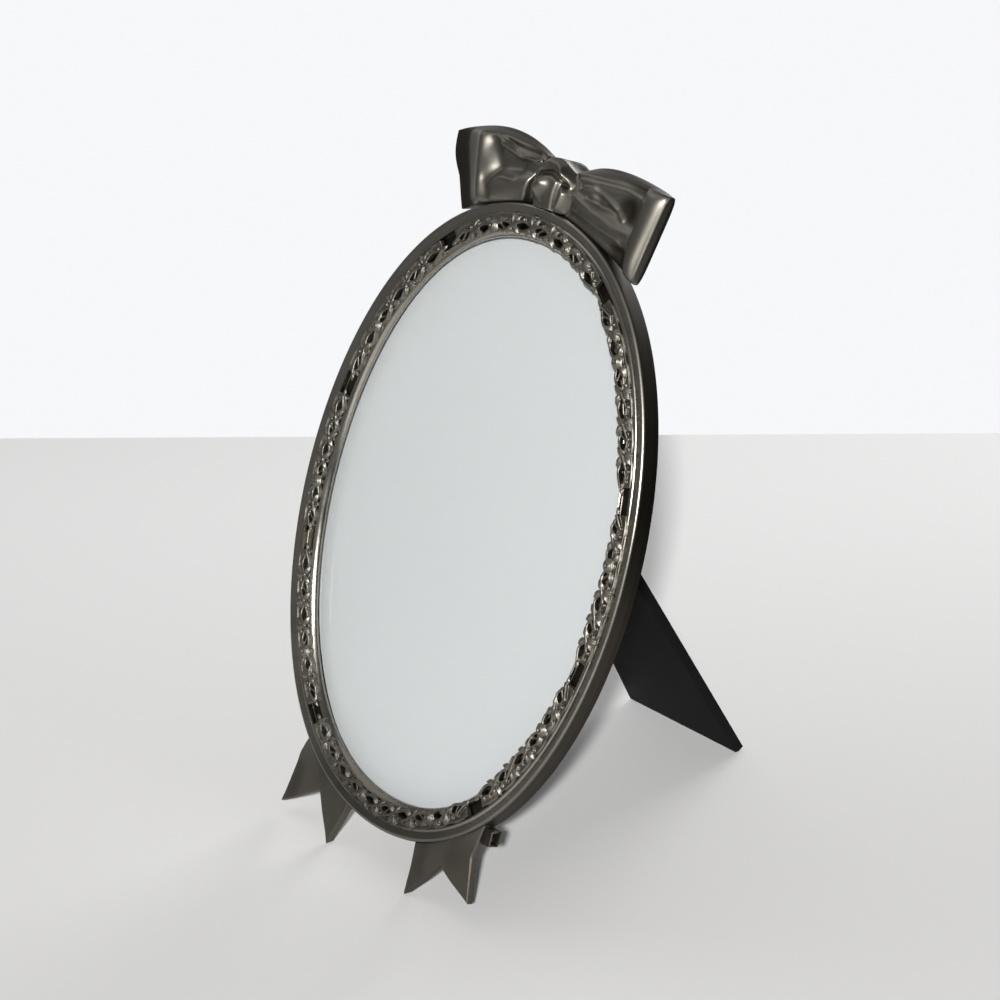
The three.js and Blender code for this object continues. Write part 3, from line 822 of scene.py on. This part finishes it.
def model_leaf(vine):
    """Pointed leaf with a raised midrib, toothed edges and a drooping tip, its foot at the origin"""
    leaf = start(bpy.ops.mesh.primitive_grid_add, "leaf", x_subdivisions=16, y_subdivisions=6, size=2)

    def shape(co):
        along, side = (co.x + 1) / 2, co.y
        teeth = 1 + 0.16 * abs(side) ** 3 * math.sin(along * 5.5 * TURN)
        width = vine.leaf_width / 2 * math.sin(math.pi * along**0.72) ** 0.8 * teeth + 0.08
        arch = 0.34 * math.sin(math.pi * along) - 0.3 * along**3
        rib = 0.24 * ridge(side, 0, 0.28) - 0.26 * abs(side) ** 1.5
        vein = 0.07 * math.cos((along * 5.5 - abs(side) * 0.8) * TURN) * abs(side)
        return Vector((along * vine.leaf_length, side * width, arch + rib + vein))

    reshape(leaf, shape)
    finish_with(leaf, "SOLIDIFY", thickness=vine.leaf_thickness, offset=-1)
    return leaf


def model_stem(points, radius):
    """Round stem through the points"""
    data = bpy.data.curves.new("stem", "CURVE")
    data.dimensions = "3D"
    data.bevel_depth = radius
    data.bevel_resolution = 3
    data.use_fill_caps = True
    spline = data.splines.new("POLY")
    spline.points.add(len(points) - 1)
    for point, co in zip(spline.points, points):
        point.co = (*co, 1)
    stem = bpy.data.objects.new("stem", data)
    bpy.context.scene.collection.objects.link(stem)
    take(stem)
    bpy.ops.object.convert(target="MESH")
    return bpy.context.object


def channel_track(rim, start_turn, end_turn):
    """Length of a stretch of the channel, and the turn at a distance along it"""
    middle = rim.lip_width + rim.channel_width / 2
    steps = 96
    turns = [start_turn + (end_turn - start_turn) * i / steps for i in range(steps + 1)]
    places = [oval_point(rim, middle, turn) for turn in turns]
    run = [0.0]
    for before, after in zip(places, places[1:]):
        run.append(run[-1] + (after - before).length)

    def turn_at(distance):
        step = next((i for i in range(1, steps) if run[i] >= distance), steps)
        part = (distance - run[step - 1]) / (run[step] - run[step - 1])
        return turns[step - 1] + (turns[step] - turns[step - 1]) * part

    return run[-1], turn_at


def model_mat(vine, span, pitch, middle):
    """Cast ground of a garland: it fills the channel outside the stems and meets the lip at each crossing"""
    mat = start(
        bpy.ops.mesh.primitive_grid_add, "mat", x_subdivisions=int(span / 0.3), y_subdivisions=6, size=2
    )

    def spread(co):
        along, across = (co.x + 1) / 2 * span, (co.y + 1) / 2
        open_part = ease(0.25, 0.8, abs(math.sin(math.pi * along / pitch)))
        inner = middle - vine.sway + (2 * vine.sway + 0.05) * open_part
        outer = vine.mat_reach
        lump = 0.12 * math.sin(2.9 * along + 2.2 * across) * math.sin(1.7 * along + 4.0 * across)
        height = vine.mat_height + lump * (1 - across**2) + 0.42 * across**3
        return Vector((along, inner + (outer - inner) * across, height))

    reshape(mat, spread)
    finish_with(mat, "SOLIDIFY", thickness=vine.mat_height, offset=-1)
    return mat


def garland_strands(vine, sprays, pitch, middle):
    """Routes and radii of a garland's two crossing stems and of the tendrils between them"""
    strands = []
    steps = 12
    for strand in (-1, 1):
        route = []
        for i in range(steps * sprays + 1):
            swing = math.pi * i / steps
            zigzag = math.asin(0.97 * math.sin(swing)) / math.asin(0.97)
            height = vine.stem_height + strand * vine.weave * math.cos(swing)
            route.append((pitch * i / steps, middle + strand * vine.sway * zigzag, height))
        strands.append((route, vine.stem))
    for i in range(0, sprays, 2):
        swing = vine.sway * (0.9 if i % 4 else -0.9)
        height = vine.stem_height - 0.15
        tendril = [(pitch * (i + 0.24), middle + swing, height), (pitch * (i + 0.62), middle - swing, height)]
        strands.append((tendril, vine.tendril))
    return strands


def model_garland(vine, rose, leaf, span):
    """One garland laid out straight: stems and tendrils on their ground, with roses, leaves and buds"""
    sprays = max(2, 2 * round(span / vine.pitch / 2))
    pitch = span / sprays
    middle = -vine.inset
    pieces = [model_mat(vine, span, pitch, middle)]
    for route, radius in garland_strands(vine, sprays, pitch, middle):
        for drop in (0.0, 0.45, 0.9):
            pieces.append(model_stem([(x, y, z - drop) for x, y, z in route], radius))

    def set_leaf(along, across, heading, size, lift):
        place = Matrix.Translation((along, across, vine.stem_height + lift))
        pieces.append(copy_of(leaf, "leaf", place @ Matrix.Rotation(heading, 4, "Z") @ Matrix.Scale(size, 4)))

    def set_bud(along, across, size):
        bud = start(
            bpy.ops.mesh.primitive_uv_sphere_add, "bud", segments=12, ring_count=8, radius=vine.bud * size
        )
        bud.data.transform(Matrix.Translation((along, across, vine.stem_height - 0.08)))
        pieces.append(bud)

    for i in range(1, sprays):
        foot, sway = pitch * i, 0.22 * math.sin(5.1 * i)
        if i % 4 == 2:
            turned = Matrix.Rotation(0.9 * i, 4, "Z")
            pieces.append(copy_of(rose, "rose", Matrix.Translation((foot, middle + 0.2, 0)) @ turned))
            set_leaf(foot + 1.0, 0.55, vine.leaf_turn * 0.7 + sway, 0.9, 0.1)
            set_leaf(foot - 1.0, 0.5, math.pi - vine.leaf_turn * 0.8 + sway, 0.85, 0.1)
        else:
            set_leaf(foot + 0.2, middle, -vine.leaf_turn - sway, 0.95, 0.2)
            set_leaf(foot - 0.2, middle, math.pi + vine.leaf_turn + sway, 0.85, 0.18)
            set_leaf(foot, 0.1, 1.4 + 2 * sway, 0.9, 0.2)
            set_leaf(foot + 0.3, 0.3, vine.leaf_turn + sway, 0.8, 0.15)
    for i in range(sprays):
        side = 1 if i % 2 else -1
        set_bud(pitch * (i + 0.5), 1.05 + 0.1 * side, 0.9)
        set_bud(pitch * (i + 0.8), 0.85 - 0.15 * side, 0.8)
    for end, turn in ((0, math.pi), (span, 0)):
        set_leaf(end, middle, turn + 0.2, 0.6, 0.0)
    return join(pieces, "garland")


class FRAME_OT_garlands(Operator):
    """Cast the eight garlands of the rose vine and bend them into the channel"""

    bl_idname = "photo_frame.garlands"
    bl_label = "Rose Vine"

    bare_angles = (30, 73, 106, 145, 215, 254, 287, 330)
    nodes = (
        "garland_right_upper", "garland_right_middle", "garland_right_lower", "garland_bottom",
        "garland_left_lower", "garland_left_middle", "garland_left_upper", "garland_top",
    )

    def execute(self, context):
        rim = rim_sizes()
        vine = bench(context.scene.frame_vine)
        rose, leaf = model_rose(vine), model_leaf(vine)
        place = face_place(rim)
        middle = rim.lip_width + rim.channel_width / 2
        half = vine.bare / (rim.sight_width / 2 + rim.sight_height / 2)
        for node, first, last in zip(self.nodes, self.bare_angles, (*self.bare_angles[1:], 390)):
            span, turn_at = channel_track(rim, math.radians(first) + half, math.radians(last) - half)
            garland = model_garland(vine, rose, leaf, span)
            finish_with(garland, "REMESH", mode="VOXEL", voxel_size=vine.cast_grain, adaptivity=0.0)
            finish_with(garland, "SMOOTH", factor=0.5, iterations=3)

            def bend(co):
                spot = oval_point(rim, middle + co.y, turn_at(co.x))
                return Vector((spot.x, rim.channel_depth - co.z, spot.y))

            reshape(garland, bend)
            garland.name = node.replace("garland", "vine")
            settle(garland, place)
            tidy(garland, 1e-7)
            smooth(garland, 60)
            dress(garland, vine_pewter(), "vine_pewter", "frame", node)
        discard(rose, leaf)
        return {"FINISHED"}


# Ribbon bow


# Folds of the bow's fronts: a line of places, a half width and a height in millimetres. A loop's places count
# along it from the knot and across it from the rim at -1 to the top edge at 1, the knot's from its middle to
# its sides and up from the rim
RIGHT_FOLDS = (
    (((0.5, 0.12), (0.62, 0.2), (0.76, 0.22)), 1.7, -0.8),
    (((0.04, 0.1), (0.29, -0.2), (0.46, -0.3), (0.7, -0.34), (0.84, -0.26)), 0.75, 0.9),
    (((0.2, 0.5), (0.43, 0.46), (0.56, 0.52), (0.73, 0.64), (0.88, 0.62)), 0.4, 0.4),
    (((0.1, -0.7), (0.4, -0.78), (0.8, -0.74)), 0.8, -0.8),
    (((0.12, 0.75), (0.2, 0.3)), 0.5, -0.5),
    (((0.28, 0.25), (0.42, 0.3), (0.58, 0.16), (0.74, -0.05)), 0.35, 0.45),
    (((0.36, -0.02), (0.52, -0.06), (0.68, 0.02)), 0.35, -0.4),
    (((0.3, -0.5), (0.55, -0.56), (0.75, -0.5)), 0.4, 0.35),
)
LEFT_FOLDS = (
    (((0.18, 0.2), (0.42, 0.0), (0.5, 0.5)), 1.8, -1.15),
    (((0.42, -0.1), (0.5, -0.6)), 1.6, -0.55),
    (((0.6, 0.9), (0.63, 0.0), (0.63, -0.9)), 1.4, 0.6),
    (((0.0, 0.8), (0.05, 0.6), (0.21, 0.36), (0.42, 0.54)), 0.3, 0.7),
    (((0.08, 0.86), (0.24, 0.7), (0.38, 0.8)), 0.8, -1.0),
    (((0.02, -0.2), (0.25, -0.5), (0.4, -0.55)), 1.9, 1.2),
    (((0.02, 0.22), (0.2, 0.02), (0.42, -0.12), (0.56, -0.4)), 0.6, -0.25),
    (((0.16, -0.3), (0.34, -0.32), (0.5, -0.6)), 0.35, 0.4),
    (((0.3, 0.62), (0.44, 0.9)), 0.5, -0.5),
)
KNOT_FOLDS = (
    (((-0.46, 0.38), (-0.26, 0.46)), 1.5, 1.5),
    (((0.7, 0.12), (0.76, 0.42)), 1.3, 1.5),
    (((0.6, 0.8), (0.8, 0.77)), 1.2, 1.0),
    (((-0.7, 0.82), (-0.2, 0.9), (0.2, 0.88), (0.6, 0.8)), 0.9, 0.8),
    (((0.3, 0.04), (0.34, 0.37), (0.4, 0.58), (0.7, 0.6)), 0.5, -1.0),
    (((-0.9, 0.45), (-0.5, 0.68), (0.0, 0.7), (0.34, 0.63)), 0.5, -0.9),
    (((-0.9, 0.2), (-0.3, 0.06)), 0.9, -0.5),
)

# How much a loop's front falls back along it, and where that starts and ends
LEFT_FALL = (0.9, 0.54, 0.98)
RIGHT_FALL = (0.62, 0.28, 0.88)


def ribbed_cylinder(name, around, along):
    """Cylinder of unit size with cuts across its length"""
    drum = start(
        bpy.ops.mesh.primitive_cylinder_add, name, vertices=around, radius=1, depth=1, end_fill_type="TRIFAN"
    )
    places = drum.data.vertices
    pick(drum, "EDGE", lambda edge: abs(places[edge.vertices[0]].co.z - places[edge.vertices[1]].co.z) > 0.5)
    bpy.ops.mesh.subdivide(number_cuts=along - 1)
    bpy.ops.object.mode_set(mode="OBJECT")
    return drum


def box_section(co):
    """Place across and forward of a drum's vertex on a rounded box section, with most facets on its front"""
    turn = math.atan2(co.x, co.y)
    part = abs(turn) / math.pi
    front, flank, rounding = 0.5, 0.14, 0.14
    if part < front:
        across, forward = part / front, 1.0
    elif part < front + flank:
        across, forward = 1.0, 1 - 2 * (part - front) / flank
    else:
        across, forward = (1 - part) / (1 - front - flank), -1.0
    spread = math.hypot(co.x, co.y)
    rounded_across = math.copysign(across * (1 - rounding * forward**6), turn)
    return rounded_across * spread, forward * (1 - rounding * across**6) * spread


def fold_height(place, folds):
    """Height at a place of folds that are each a line of places, a half width and a height"""
    total = 0.0
    for line, width, height in folds:
        gaps = []
        for begin, end in zip(line, line[1:]):
            near, part = intersect_point_line(place, begin, end)
            near = begin if part < 0 else end if part > 1 else near
            gaps.append((place - near).length)
        total += height * ridge(min(gaps), 0, width)
    return total


def on_front(folds, wide, high):
    """Folds given in shares of a front's width and height, turned to millimetres"""
    return [
        ([Vector((along * wide, across * high)) for along, across in line], width, height)
        for line, width, height in folds
    ]


def model_loop(rim, bow, side):
    """Loop of the bow: puffed, crisp along its top, hollow in front, with folds running out from the knot"""
    loop = ribbed_cylinder("loop", 120, 64)
    top = rim.sight_height / 2 + rim_width(rim)
    neck = bow.knot_width / 2 + side * bow.knot_shift - bow.neck_overlap
    lower = side * bow.height_skew
    corners = (
        Vector((neck, top + bow.neck_height - lower)),
        Vector((bow.crown_reach - side * bow.crown_skew, top + bow.crown_height - 2 * lower)),
        Vector((bow.reach + side * bow.reach_skew, top + bow.end_height - lower / 2)),
    )
    folds = on_front(RIGHT_FOLDS if side > 0 else LEFT_FOLDS, bow.front_width, bow.front_height)
    fall, fall_start, fall_end = RIGHT_FALL if side > 0 else LEFT_FALL

    def shape(co):
        along = 1 - max(0.0, 0.5 - co.z) ** 1.4
        across, forward = box_section(co)
        back = 1 - along
        crest = corners[0] * back * back + corners[1] * 2 * along * back + corners[2] * along * along
        foot_turn = bow.neck_angle + (bow.end_angle + side * bow.angle_skew - bow.neck_angle) * along
        foot = oval_point(rim, rim_width(rim) + bow.gap + bow.end_lift * along**2, foot_turn)
        foot.x = max(foot.x, neck)
        place = foot.lerp(crest, (across + 1) / 2)
        place.y -= bow.top_drop * max(0.0, across) ** 3 * (1 + forward) / 2 * math.sin(math.pi * along)
        puff = (bow.neck_depth + (bow.loop_depth - bow.neck_depth) * min(1.0, along * 1.6)) / 2
        if forward > 0:
            reach = puff * (1 - fall * ease(fall_start, fall_end, along))
            if side > 0:
                from_roll = (along - bow.roll_place) / bow.roll_width
                reach = max(reach, bow.roll * math.sqrt(max(0.0, 1 - from_roll**2)))
            spot = Vector((along * bow.front_width, across * bow.front_height))
            reach += fold_height(spot, folds) * ease(0.0, 0.8, forward)
        else:
            round_end = math.sqrt(max(0.25, 1 - max(0.0, (along - 0.9) / 0.1) ** 2))
            reach = puff * (1 - 0.25 * ease(0.75, 1.0, along)) * round_end
        if side < 0:
            place.x += bow.edge_wave * math.sin(3.4 * across + 0.4) * along**6
        return Vector((side * place.x, bow.depth_centre - forward * reach, place.y))

    reshape(loop, shape)
    finish_with(loop, "SUBSURF", levels=1, render_levels=1)
    tidy(loop, 1e-5)
    return loop


class FRAME_OT_bow_loops(Operator):
    """Model the two loops of the ribbon bow"""

    bl_idname = "photo_frame.bow_loops"
    bl_label = "Bow Loops"

    def execute(self, context):
        rim, bow = rim_sizes(), bench(context.scene.frame_bow)
        for side, hand in ((-1, "left"), (1, "right")):
            loop = model_loop(rim, bow, side)
            loop.name = "loop_" + hand
            settle(loop, face_place(rim))
            smooth(loop, 60)
            dress(loop, rubbed_pewter_and_painted_shade(), "pewter", "frame", "bow_loop_" + hand)
        return {"FINISHED"}


class FRAME_OT_bow_knot(Operator):
    """Model the pleated knot of the bow"""

    bl_idname = "photo_frame.bow_knot"
    bl_label = "Bow Knot"

    def execute(self, context):
        rim, bow = rim_sizes(), bench(context.scene.frame_bow)
        knot = ribbed_cylinder("knot", 120, 48)
        top = rim.sight_height / 2 + rim_width(rim)
        folds = on_front(KNOT_FOLDS, bow.knot_width / 2, bow.knot_height)

        def shape(co):
            up = co.z + 0.5
            across, forward = box_section(co)
            belly = 0.76 + 0.24 * math.sin(math.pi * up) ** 0.8
            reach = belly * bow.knot_depth / 2 * (1 - 0.3 * across**4)
            if forward > 0:
                spot = Vector((across * bow.knot_width / 2, up * bow.knot_height))
                reach += fold_height(spot, folds) * ease(0.0, 0.8, forward) - 0.4
            height = top + bow.gap + up * bow.knot_height * (1 - bow.knot_dome * across**2)
            sideways = bow.knot_shift + across * belly * bow.knot_width / 2
            return Vector((sideways, bow.depth_centre - forward * reach, height))

        reshape(knot, shape)
        finish_with(knot, "SUBSURF", levels=1, render_levels=1)
        tidy(knot, 1e-5)
        settle(knot, face_place(rim))
        smooth(knot, 60)
        dress(knot, rubbed_pewter_and_painted_shade(), "pewter", "frame", "bow_knot")
        return {"FINISHED"}


class FRAME_OT_ribbon_tails(Operator):
    """Wave the swallow-tail ribbon ends, round their edges and set the lugs behind them"""

    bl_idname = "photo_frame.ribbon_tails"
    bl_label = "Ribbon Tails"

    def execute(self, context):
        bow = bench(context.scene.frame_bow)
        place = face_place(rim_sizes())
        for side, hand in ((-1, "left"), (1, "right")):
            node = "ribbon_tail_" + hand
            tail = eased_copy(node, "tail_" + hand, bow.tail_bevel)
            self.ripple(tail, bow, place)
            tail = join([tail, self.lug(tail, bow, place, side)], "tail_" + hand)
            smooth(tail, 35)
            dress(tail, rubbed_pewter_and_painted_shade(), "pewter", "frame", node)
        return {"FINISHED"}

    def lug(self, tail, bow, place, side):
        """Small cast block behind a ribbon end's outer corner, hollow on its outer side"""
        spots = [place.inverted() @ vertex.co for vertex in tail.data.vertices]
        rear = max(spot.y for spot in spots)
        stud = [spot for spot in spots if spot.y > rear - 0.1]
        middle = sum(stud, Vector()) / len(stud)
        centre = Vector((middle.x, rear - bow.lug_inset, middle.z + bow.lug_lift))
        size = Vector((bow.lug_width, bow.lug_depth, bow.lug_height))
        lug = start(bpy.ops.mesh.primitive_cube_add, "lug", size=1)
        reshape(lug, lambda co: centre + size * co)
        pick(lug, "FACE", lambda face: face.normal.x * side > 0.9)
        bpy.ops.mesh.inset(thickness=bow.lug_wall)
        bpy.ops.mesh.extrude_region_move(TRANSFORM_OT_translate={"value": (-side * bow.lug_hollow, 0, 0)})
        bpy.ops.object.mode_set(mode="OBJECT")
        round_edges(lug, bow.lug_round, 4)
        settle(lug, place)
        tidy(lug, 1e-7)
        return lug

    def ripple(self, tail, bow, place):
        """Wave a flat ribbon end gently, level at its tips and under the rim"""
        low, high = mesh_box(tail)
        take(tail)
        bpy.ops.object.mode_set(mode="EDIT")
        for axis, strips in (((1, 0, 0), 16), ((0, 0, 1), 8)):
            for i in range(1, strips):
                bpy.ops.mesh.select_all(action="SELECT")
                bpy.ops.mesh.bisect(plane_co=low.lerp(high, i / strips), plane_no=axis)
        bpy.ops.object.mode_set(mode="OBJECT")
        rearward = place.to_3x3() @ Vector((0, 1, 0))

        def wave(co):
            along = (co.x - low.x) / (high.x - low.x)
            up = (co.z - low.z) / (high.z - low.z)
            level = ease(0.0, 0.3, up) * (1 - ease(0.6, 0.95, up))
            return co + rearward * (bow.tail_ripple * level * math.sin(TURN * 1.1 * along + 0.6))

        reshape(tail, wave)


# Glazing, easel back and hardware


class FRAME_OT_glazing(Operator):
    """Give the pane and the blank card their finishes"""

    bl_idname = "photo_frame.glazing"
    bl_label = "Glass and Card"

    def execute(self, context):
        for node, finish in (("glass_pane", clear_glass()), ("picture_card", blank_card())):
            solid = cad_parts[node]
            solid.data.materials.clear()
            solid.data.materials.append(finish)
        return {"FINISHED"}


class FRAME_OT_easel(Operator):
    """Round the moulded edges of the easel back and its strut"""

    bl_idname = "photo_frame.easel"
    bl_label = "Easel Back and Strut"

    def execute(self, context):
        easel = bench(context.scene.frame_easel)
        plate = eased_copy("easel_back", "back_plate", easel.plate_round)
        dress(plate, black_plastic(), "black_plastic", "frame", "easel_back")
        leg = eased_copy("strut", "easel_leg", easel.strut_round)
        dress(leg, black_plastic(), "black_plastic", "strut", "strut")
        return {"FINISHED"}


class FRAME_OT_hardware(Operator):
    """Round the hinge pin, the turn buttons and their rivets"""

    bl_idname = "photo_frame.hardware"
    bl_label = "Pin and Turn Buttons"

    def execute(self, context):
        easel = bench(context.scene.frame_easel)
        pin = eased_copy("hinge_pin", "pin", easel.pin_round)
        dress(pin, plated_steel(), "steel", "frame", "hinge_pin")
        for hand in ("left", "right"):
            button = eased_copy("turn_button_" + hand, "button_" + hand, easel.button_round)
            dress(button, plated_steel(), "steel", "turn_button_" + hand, "turn_button_" + hand)
            rivet = eased_copy("button_rivet_" + hand, "rivet_" + hand, easel.rivet_round)
            dress(rivet, plated_steel(), "steel", "frame", "button_rivet_" + hand)
        return {"FINISHED"}


class FRAME_OT_stage(Operator):
    """Set the pale table, the white surroundings, the lamps and the camera"""

    bl_idname = "photo_frame.stage"
    bl_label = "Stage"

    eye = Vector((0.3483, -0.3156, 0.2742))
    aim = Vector((0.01945, -0.0278, 0.08545))
    lens = 86.4
    table_width = 0.36
    table_depth = 1.1
    table_end = 0.685
    table_turn = math.radians(0.8)
    room_left = (0.18, 0.18, 0.18, 1)
    room_right = (0.012, 0.012, 0.012, 1)
    room_above = (0.12, 0.12, 0.12, 1)

    def execute(self, context):
        scene = context.scene
        scene.view_settings.view_transform = "Standard"
        look = self.aim - self.eye
        level = Vector((look.x, look.y, 0)).normalized()
        self.table(level)
        self.surroundings(scene, level)
        self.lamps(level)
        data = bpy.data.cameras.new("photo_view")
        data.lens = self.lens
        data.sensor_width = 36
        camera = bpy.data.objects.new("photo_view", data)
        camera.location = self.eye
        camera.rotation_euler = look.to_track_quat("-Z", "Y").to_euler()
        scene.collection.objects.link(camera)
        scene.camera = camera
        return {"FINISHED"}

    def table(self, level):
        """Table top that ends in a straight line behind the frame"""
        table = start(bpy.ops.mesh.primitive_plane_add, "table", size=1)
        heading = math.atan2(-level.x, level.y) + self.table_turn
        foot = Vector((self.eye.x, self.eye.y, 0))
        under_feet = -0.0002
        reshape(
            table,
            lambda co: Vector((
                co.x * self.table_width, self.table_end + (co.y - 0.5) * self.table_depth, under_feet,
            )),
        )
        settle(table, Matrix.Translation(foot) @ Matrix.Rotation(heading, 4, "Z"))
        table.data.materials.append(table_top())

    def surroundings(self, scene, level):
        """White wall behind the frame, with a dimmer room above it and to its sides"""
        world = bpy.data.worlds.new("room")
        scene.world = world
        finish = Finish(world)
        white = tuple(bench(scene.frame_finishes).backdrop)
        direction = finish.place("Generated")
        ahead = finish.dot(direction, tuple(level))
        right = finish.dot(direction, (level.y, -level.x, 0))
        upward = finish.dot(direction, (0, 0, 1))
        sides = finish.mix(right.span(-0.5, 0.5), self.room_left, self.room_right)
        room = finish.mix(upward.span(0.3, 0.9), sides, self.room_above)
        wall = ahead.span(0.7, 0.92) * (1 - upward.span(0.3, 0.6))
        camera, glossy, passing = (
            finish.node("LightPath", out=f"Is {kind} Ray") for kind in ("Camera", "Glossy", "Transmission")
        )
        shown = finish.maths("MAXIMUM", camera, wall * (glossy + passing))
        light = finish.node("Background", {"Color": finish.mix(shown, room, white), "Strength": 1.0})
        finish.node("OutputWorld", {"Surface": light})

    def lamps(self, level):
        """A small lamp above the lens, a soft one over the table and one behind on the right for the back"""
        left, up = Vector((-level.y, level.x, 0)), Vector((0, 0, 1))
        away = (self.eye - self.aim).normalized()
        above_lens = self.eye + away * 0.5 + left * 0.05 + up * 0.075
        over_table = self.aim + level * 0.35 + left * 0.3 + up * 0.75
        behind = self.aim + level * 0.8 - left * 0.5 + up * 0.15
        for name, place, aim, size, watts in (
            ("camera_lamp", above_lens, self.aim, 0.04, 12.4),
            ("ceiling_lamp", over_table, self.aim + level * 0.3, 0.8, 1.3),
            ("rear_lamp", behind, self.aim, 0.5, 6.0),
        ):
            data = bpy.data.lights.new(name, "AREA")
            data.size = size
            data.energy = watts
            lamp = bpy.data.objects.new(name, data)
            lamp.location = place
            lamp.rotation_euler = (aim - place).to_track_quat("-Z", "Y").to_euler()
            bpy.context.scene.collection.objects.link(lamp)


STEPS = (
    FRAME_OT_rim, FRAME_OT_garlands, FRAME_OT_bow_loops, FRAME_OT_bow_knot, FRAME_OT_ribbon_tails,
    FRAME_OT_glazing, FRAME_OT_easel, FRAME_OT_hardware, FRAME_OT_stage,
)


class FRAME_PT_panel(Panel):
    """Sizes, colours and steps of the photo frame"""

    bl_idname = "FRAME_PT_panel"
    bl_label = "Photo Frame"
    bl_space_type = "VIEW_3D"
    bl_region_type = "UI"
    bl_category = "Photo Frame"

    def draw(self, context):
        for step in STEPS:
            self.layout.operator(step.bl_idname)
        for name in GROUPS:
            group = getattr(context.scene, name)
            for item in group.bl_rna.properties:
                if item.identifier not in ("rna_type", "name"):
                    self.layout.prop(group, item.identifier)


GROUPS = {
    "frame_rim": RimSizes,
    "frame_vine": VineSizes,
    "frame_bow": BowSizes,
    "frame_easel": EaselSizes,
    "frame_finishes": Finishes,
}


def register():
    for made in (*GROUPS.values(), *STEPS, FRAME_PT_panel):
        bpy.utils.register_class(made)
    for name, group in GROUPS.items():
        setattr(bpy.types.Scene, name, PointerProperty(type=group))


def unregister():
    for name in GROUPS:
        delattr(bpy.types.Scene, name)
    for made in reversed((*GROUPS.values(), *STEPS, FRAME_PT_panel)):
        bpy.utils.unregister_class(made)


def main():
    register()
    bpy.ops.photo_frame.rim()
    bpy.ops.photo_frame.garlands()
    bpy.ops.photo_frame.bow_loops()
    bpy.ops.photo_frame.bow_knot()
    bpy.ops.photo_frame.ribbon_tails()
    bpy.ops.photo_frame.glazing()
    bpy.ops.photo_frame.easel()
    bpy.ops.photo_frame.hardware()
    bpy.ops.photo_frame.stage()


if __name__ == "__main__":
    main()
